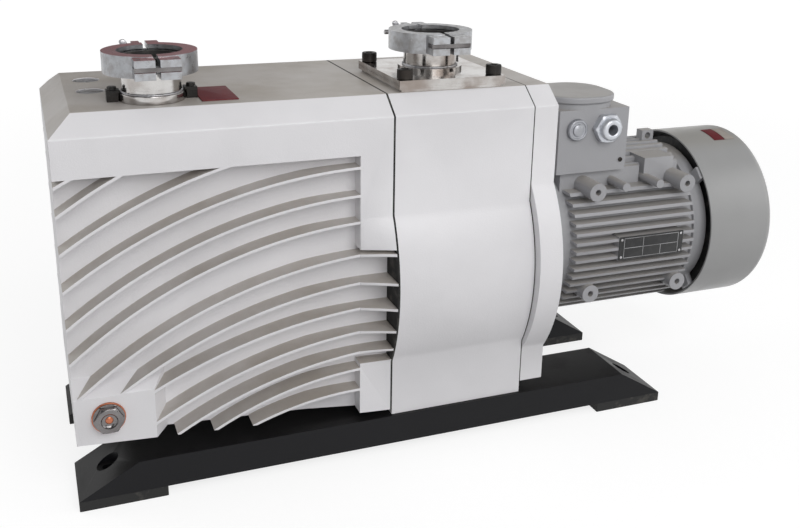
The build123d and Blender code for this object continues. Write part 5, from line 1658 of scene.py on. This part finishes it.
@dataclass
class Motor:
    """Finned motor with its shields, cowl, inner parts and plates."""

    cast_edge: float = 0.8 * MM
    front_edge: float = 1.6 * MM
    rear_edge: float = 1.2 * MM
    shaft_edge: float = 0.5 * MM
    head_length: float = 17.0 * MM
    fan_bore: float = 10.0 * MM
    fan_hub: float = 20.0 * MM
    fan_hub_length: float = 24.0 * MM
    fan_disc: float = 97.0 * MM
    fan_sheet: float = 2.4 * MM
    fan_hub_edge: float = 1.0 * MM
    fan_disc_edge: float = 0.6 * MM
    disc_rise: float = 0.2 * MM
    blade_slope: tuple[float, float] = (6.0 * MM, 12.0 * MM)
    blade_gap: float = 1.5 * MM
    blade_corner: float = 4.0 * MM
    blade_edge: float = 0.5 * MM
    blades: int = 8
    plate_corner: float = 1.6 * MM
    plate_rim: float = 0.25 * MM
    plate_edge: float = 0.3 * MM
    rivet_radius: float = 1.6 * MM
    rivet_height: float = 0.9 * MM
    rivet_inset: float = 3.5 * MM
    bar_width: float = 0.7 * MM
    bar_height: float = 0.12 * MM
    bar_corner: float = 0.2 * MM
    bar_edge: float = 0.05 * MM
    field_inset_x: float = 7.0 * MM
    field_inset_z: float = 2.2 * MM
    field_split: float = 0.3
    half_split: float = 0.35

    def build(self) -> None:
        """Build the motor."""
        rounded_copy("drive_end_shield", self.front_edge, MOTOR_PAINT, segments=3)
        rounded_copy("motor_frame", self.cast_edge, MOTOR_PAINT)
        rounded_copy("rear_shield", self.rear_edge, MOTOR_PAINT, segments=3)
        rounded_copy("fan_cowl", self.cast_edge, COWL_PAINT)
        self.fan_wheel()
        rounded_copy("motor_rotor", self.shaft_edge, SHAFT_STEEL)
        rounded_copy("motor_bearings", self.shaft_edge, SHAFT_STEEL)
        stator = span("motor_stator")
        finish_node("motor_stator", StatorFinish(
            "wound_stator", (0.30, 0.30, 0.31), (0.55, 0.22, 0.08),
            stator.low.x + self.head_length, stator.high.x - self.head_length))
        self.nameplate()

    def fan_wheel(self) -> None:
        """Hub, back disc and straight blades round X, on the motor's rotor."""
        box = span("fan")
        depth = box.size.x
        reach = box.size.z / 2 - self.blade_gap
        foot = self.fan_hub - self.fan_sheet
        hub = washer(self.fan_bore, self.fan_hub, 0.0, self.fan_hub_length, self.fan_hub_edge, 96)
        disc = washer(foot, self.fan_disc, self.disc_rise, self.fan_sheet, self.fan_disc_edge, 96)
        slope_depth, slope_rise = self.blade_slope
        corners = [(self.fan_sheet / 2, foot), (depth - slope_depth, foot),
                   (depth, self.fan_hub + slope_rise), (depth, reach), (self.fan_sheet / 2, reach)]
        outline = rounded(corners, self.blade_corner, steps=3)
        levels = soft_levels(-self.fan_sheet / 2, self.fan_sheet / 2, self.blade_edge)
        blade = slab(outline, levels).laid(Axis.Y, (0.0, 0.0, 0.0))
        blades = [blade.spun(turn) for turn in ring_angles(self.blades)]
        centre = (box.low.x, box.middle.y, box.middle.z)
        wheel = add_piece("fan_wheel", joined([hub, disc, *blades]).laid(Axis.X, centre),
                          FAN_PLASTIC, BODY_OF["fan"])
        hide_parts("fan")

    def nameplate(self) -> None:
        """Bare black plate with four rivets and the raised rims of its empty fields."""
        box = span("motor_nameplate")
        outline = rounded(rectangle(box.size.z, box.size.x), self.plate_corner)
        centre = (box.middle.x, box.high.y, box.middle.z)
        plate = slab(outline, soft_levels(0.0, box.size.y - self.plate_rim, self.plate_edge))
        piece = add_piece("bare_nameplate", plate.laid(Axis.Y, centre, flip=True), BLACK_PLATE,
                          "pump")
        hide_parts("motor_nameplate")
        rivet = dome(self.rivet_radius, self.rivet_height, 6, 24)
        half_x, half_z = box.size.x / 2 - self.rivet_inset, box.size.z / 2 - self.rivet_inset
        face = box.low.y + self.plate_edge
        rivets = [rivet.laid(Axis.Y, (box.middle.x + x, face, box.middle.z + z), flip=True)
                  for x in (-half_x, half_x) for z in (-half_z, half_z)]
        add_piece("nameplate_rivets", joined(rivets), ZINC_STEEL, "pump")
        self.blank_fields(box)

    def blank_fields(self, box: Span) -> None:
        """Thin raised rims of the plate's empty fields.

        Args:
            box: box of the plate.
        """
        bar = self.bar_width
        half_x = box.size.x / 2 - self.field_inset_x
        half_z = box.size.z / 2 - self.field_inset_z
        bars = [(0.0, offset, 2 * half_x + bar, bar) for offset in (-half_z, 0.0, half_z)]
        bars += [(offset, 0.0, bar, 2 * half_z + bar)
                 for offset in (-half_x, -self.field_split * half_x, half_x)]
        bars.append((self.half_split * half_x, -half_z / 2, bar, half_z))
        strips = []
        face = box.low.y + self.plate_rim
        levels = soft_levels(-self.bar_height, self.bar_height, self.bar_edge, steps=1)
        for x, z, length, width in bars:
            strip = slab(rounded(rectangle(width, length), self.bar_corner, steps=2), levels)
            strips.append(strip.laid(Axis.Y, (box.middle.x + x, face, box.middle.z + z)))
        add_piece("nameplate_fields", joined(strips), FIELD_SILVER, "pump")


@dataclass
class TerminalBox:
    """Terminal box with its lid, blind plug and cable gland."""

    box_edge: float = 3.0 * MM
    lid_edge: float = 2.4 * MM
    earth: CapScrew = CapScrew(2.6 * MM, 1.6 * MM, 2.2 * MM, 1.0 * MM, 1.8 * MM, 4.0 * MM,
                               knurls=16)
    earth_offset: float = 22.0 * MM
    earth_height: float = 289.0 * MM
    plug_edge: float = 0.5 * MM
    gland_flats: float = 31.0
    grip_radius: float = 12.6
    grip_depth: float = 0.35
    grips: int = 16

    def build(self) -> None:
        """Build the box and its fittings."""
        rounded_copy("terminal_box", self.box_edge, MOTOR_PAINT, segments=4)
        rounded_copy("terminal_lid", self.lid_edge, MOTOR_PAINT, segments=4)
        blind, gland = (box.middle for box in solid_spans("cable_glands"))
        face = span("terminal_box").low.y
        shape = self.cable_gland().laid(Axis.Y, (gland.x, face, gland.z), flip=True)
        piece = add_piece("hexagonal_cable_gland", shape, GLAND_METAL, "pump")
        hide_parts("cable_glands")
        shape = self.blind_plug().laid(Axis.Y, (blind.x, face, blind.z), flip=True)
        add_piece("round_blind_plug", shape, PLUG_METAL, "pump")
        place = (gland.x + self.earth_offset, face, self.earth_height)
        add_piece("earth_screw", self.earth.shape().laid(Axis.Y, place, flip=True), BLACK_STEEL,
                  "pump")

    def blind_plug(self) -> Shape:
        """Round plug whose face has a ring groove and a shallow dome, its seat at the origin."""
        profile = MM * np.array([(0.0, -4.0), (11.0, -4.0), (11.0, 0.0), (12.4, 0.0), (12.4, 3.6),
                                 (11.0, 5.0), (9.6, 5.0), (9.2, 3.8), (7.0, 3.8), (6.6, 5.6),
                                 (3.0, 6.6), (0.0, 6.9)])
        return revolve(rounded(profile, self.plug_edge, closed=False), 72)

    def cable_gland(self) -> Shape:
        """Hexagonal gland with a gripped dome round a bore, its seat at the origin.

        The hexagon's radius is min(hexagon, limit), and the dome's is R + d cos(n a) on its grips.

        Returns:
            The gland's surface.
        """
        angle = ring_angles(96)
        nut = hexagon_radius(angle, self.gland_flats)
        grip = self.grip_radius + self.grip_depth * np.cos(self.grips * angle)
        rows = [
            (6.0, -4.0), (10.9, -4.0), (10.9, 0.0), (np.minimum(nut, 16.0), 0.0),
            (np.minimum(nut, 17.2), 1.0), (nut, 1.8), (nut, 6.2), (np.minimum(nut, 17.2), 7.0),
            (np.minimum(nut, 15.8), 8.0), (self.grip_radius, 8.2), (grip, 9.2), (grip, 12.6),
            (12.2, 13.8), (11.0, 15.2), (9.2, 15.9), (7.2, 15.9), (6.2, 15.2),
        ]
        shape = stacked(rows, len(angle), closed=True)
        return Shape(MM * shape.points, shape.faces)


@dataclass
class Studio:
    """Pale floor, soft lamps, plain background and the camera that sees the object as pictured."""

    floor_radius: float = 9.0
    focal_pixels: float = 983.066
    picture_width: float = 800.0
    picture_height: float = 528.0
    principal_row: float = 200.0
    sensor: float = 36.0
    pitch: float = -0.308
    roll: float = 0.016
    yaw: float = -0.369
    camera_place: tuple[float, float, float] = (-0.34071, -0.99344, 0.58221)
    world_level: float = 0.55
    ceiling_level: float = 0.35
    ceiling_seen: float = 0.25
    panel_count: float = 7.0
    panel_gap: float = 0.25
    floor_colour: Colour = (0.30, 0.30, 0.30)
    lift_distances: tuple[float, float] = (0.8, 3.5)
    lifts: tuple[float, float] = (0.78, 0.9)
    floor_rings: tuple[float, ...] = (0.0, 0.4, 1.2, 2.5)
    paper_scale: float = 300.0
    paper_range: tuple[float, float] = (0.3, 0.7)
    paper_roughness: tuple[float, float] = (0.75, 0.95)
    panel_edge: float = 0.35
    ceiling_start: tuple[float, float] = (0.35, 0.75)
    dimming: tuple[float, float] = (0.0, 0.9)
    aim: tuple[float, float, float] = (0.0, 0.0, 0.2)
    lamps: tuple[tuple[str, tuple[float, float, float], float, float], ...] = (
        ("key", (0.3, -2.4, 1.7), 2.0, 40.0),
        ("fill", (2.4, -1.0, 1.2), 1.6, 12.0),
        ("rim", (-1.8, 1.6, 2.0), 1.6, 12.0),
    )

    def build(self) -> None:
        """Set up everything round the object."""
        self.floor()
        self.world()
        for name, place, size, power in self.lamps:
            self.lamp(name, place, size, power)
        self.camera()

    @staticmethod
    def seen(sketch: NodeSketch) -> bpy.types.NodeSocket:
        """One for rays from the camera, a mirror or glass, and zero for the rest.

        Args:
            sketch: sketch of the tree that it goes into.

        Returns:
            The mask's socket.
        """
        path = sketch.node("ShaderNodeLightPath")
        mask = sketch.maths("MAXIMUM", path.outputs["Is Camera Ray"], path.outputs["Is Glossy Ray"])
        return sketch.maths("MAXIMUM", mask, path.outputs["Is Transmission Ray"])

    def floor(self) -> None:
        """Pale matt disc that looks white where it is lit and keeps the shadow."""
        radius = np.array([*self.floor_rings, self.floor_radius])
        disc = revolve(np.stack([radius, 0 * radius], axis=1), 96)
        mesh = mesh_of("studio_floor", disc)
        material = bpy.data.materials.new("floor_paper")
        material.use_nodes = True
        sketch = NodeSketch(material.node_tree)
        place = sketch.place()
        fibres = sketch.noise(place, self.paper_scale, 3.0)
        rough = sketch.remap(fibres, *self.paper_range, *self.paper_roughness)
        distance = sketch.node("ShaderNodeVectorMath", operation="LENGTH")
        sketch.give(distance.inputs[0], place)
        lift = sketch.remap(distance.outputs["Value"], *self.lift_distances, *self.lifts)
        lift = sketch.maths("MULTIPLY", self.seen(sketch), lift)
        shader = sketch.feed(sketch.node("ShaderNodeBsdfPrincipled"),
                             Base_Color=self.floor_colour, Roughness=rough, Emission_Color=WHITE,
                             Emission_Strength=lift, Specular_IOR_Level=0.0)
        sketch.end("ShaderNodeOutputMaterial", Surface=shader.outputs[0])
        mesh.materials.append(material)
        floor = bpy.data.objects.new("studio_floor", mesh)
        bpy.context.scene.collection.objects.link(floor)

    def world(self) -> None:
        """White to the camera, soft to the object; mirrors see white panels with darker gaps."""
        world = bpy.data.worlds.new("studio")
        bpy.context.scene.world = world
        world.use_nodes = True
        sketch = NodeSketch(world.node_tree)
        direction = sketch.node("ShaderNodeTexCoord").outputs["Generated"]
        parts = sketch.feed(sketch.node("ShaderNodeSeparateXYZ"), Vector=direction)
        azimuth = sketch.maths("ARCTAN2", parts.outputs["Y"], parts.outputs["X"])
        wave = sketch.maths("SINE", sketch.maths("MULTIPLY", azimuth, self.panel_count))
        panels = sketch.remap(wave, -self.panel_edge, self.panel_edge, self.panel_gap)
        glossy = sketch.node("ShaderNodeLightPath").outputs["Is Glossy Ray"]
        banded = sketch.maths("MULTIPLY", glossy, sketch.maths("SUBTRACT", 1.0, panels))
        seen = sketch.remap(parts.outputs["Z"], *self.ceiling_start, 1.0, self.ceiling_seen)
        seen = sketch.maths("MULTIPLY", seen, sketch.maths("SUBTRACT", 1.0, banded))
        soft = sketch.remap(parts.outputs["Z"], *self.dimming, self.world_level,
                            self.ceiling_level)
        mix = sketch.node("ShaderNodeMix", data_type="FLOAT")
        for index, value in ((0, self.seen(sketch)), (2, soft), (3, seen)):
            sketch.give(mix.inputs[index], value)
        background = sketch.feed(sketch.node("ShaderNodeBackground"), Color=WHITE,
                                 Strength=mix.outputs[0])
        sketch.end("ShaderNodeOutputWorld", Surface=background.outputs[0])

    def lamp(self, name: str, place: tuple[float, float, float], size: float,
             power: float) -> None:
        """Square soft lamp that faces the object.

        Args:
            name: lamp's name.
            place: where it stands.
            size: edge length.
            power: watts.
        """
        data = bpy.data.lights.new(name, "AREA")
        data.size = size
        data.energy = power
        lamp = bpy.data.objects.new(name, data)
        lamp.location = place
        look = Vector(self.aim) - Vector(place)
        lamp.rotation_euler = look.to_track_quat("-Z", "Y").to_euler()
        bpy.context.scene.collection.objects.link(lamp)

    def camera(self) -> None:
        """Camera turned by yaw, then pitch, then roll from a level look along +Y."""
        cos_z, sin_z = math.cos(self.yaw), math.sin(self.yaw)
        cos_x, sin_x = math.cos(self.pitch), math.sin(self.pitch)
        cos_y, sin_y = math.cos(self.roll), math.sin(self.roll)
        level = np.array([[1, 0, 0], [0, 0, -1], [0, 1, 0]])
        yaw = np.array([[cos_z, -sin_z, 0], [sin_z, cos_z, 0], [0, 0, 1]])
        pitch = np.array([[1, 0, 0], [0, cos_x, sin_x], [0, -sin_x, cos_x]])
        roll = np.array([[cos_y, -sin_y, 0], [sin_y, cos_y, 0], [0, 0, 1]])
        view = roll @ pitch @ level @ yaw.T
        matrix = np.eye(4)
        matrix[:3, :3] = np.stack([view[0], -view[1], -view[2]], axis=1)
        matrix[:3, 3] = self.camera_place
        data = bpy.data.cameras.new("photograph")
        data.sensor_fit = "HORIZONTAL"
        data.sensor_width = self.sensor
        data.lens = self.focal_pixels * self.sensor / self.picture_width
        data.shift_y = (self.principal_row - self.picture_height / 2) / self.picture_width
        camera = bpy.data.objects.new("photograph", data)
        camera.matrix_world = Matrix(matrix.tolist())
        bpy.context.scene.collection.objects.link(camera)
        bpy.context.scene.camera = camera
        bpy.context.scene.view_settings.view_transform = "Standard"


def main() -> None:
    """Build the studio and every sub-assembly in order."""
    logging.basicConfig(level=logging.INFO, format="%(name)s %(message)s")
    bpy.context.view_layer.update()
    Studio().build()
    BaseFrame().build()
    Housing().build()
    Ports().build()
    RingClamp("exhaust", ROSY_CLAMP_METAL).build()
    RingClamp("inlet", CLAMP_METAL).build()
    RoofFittings().build()
    DrainFitting().build()
    PumpModule().build()
    Coupling().build()
    Motor().build()
    TerminalBox().build()


if __name__ == "__main__":
    main()
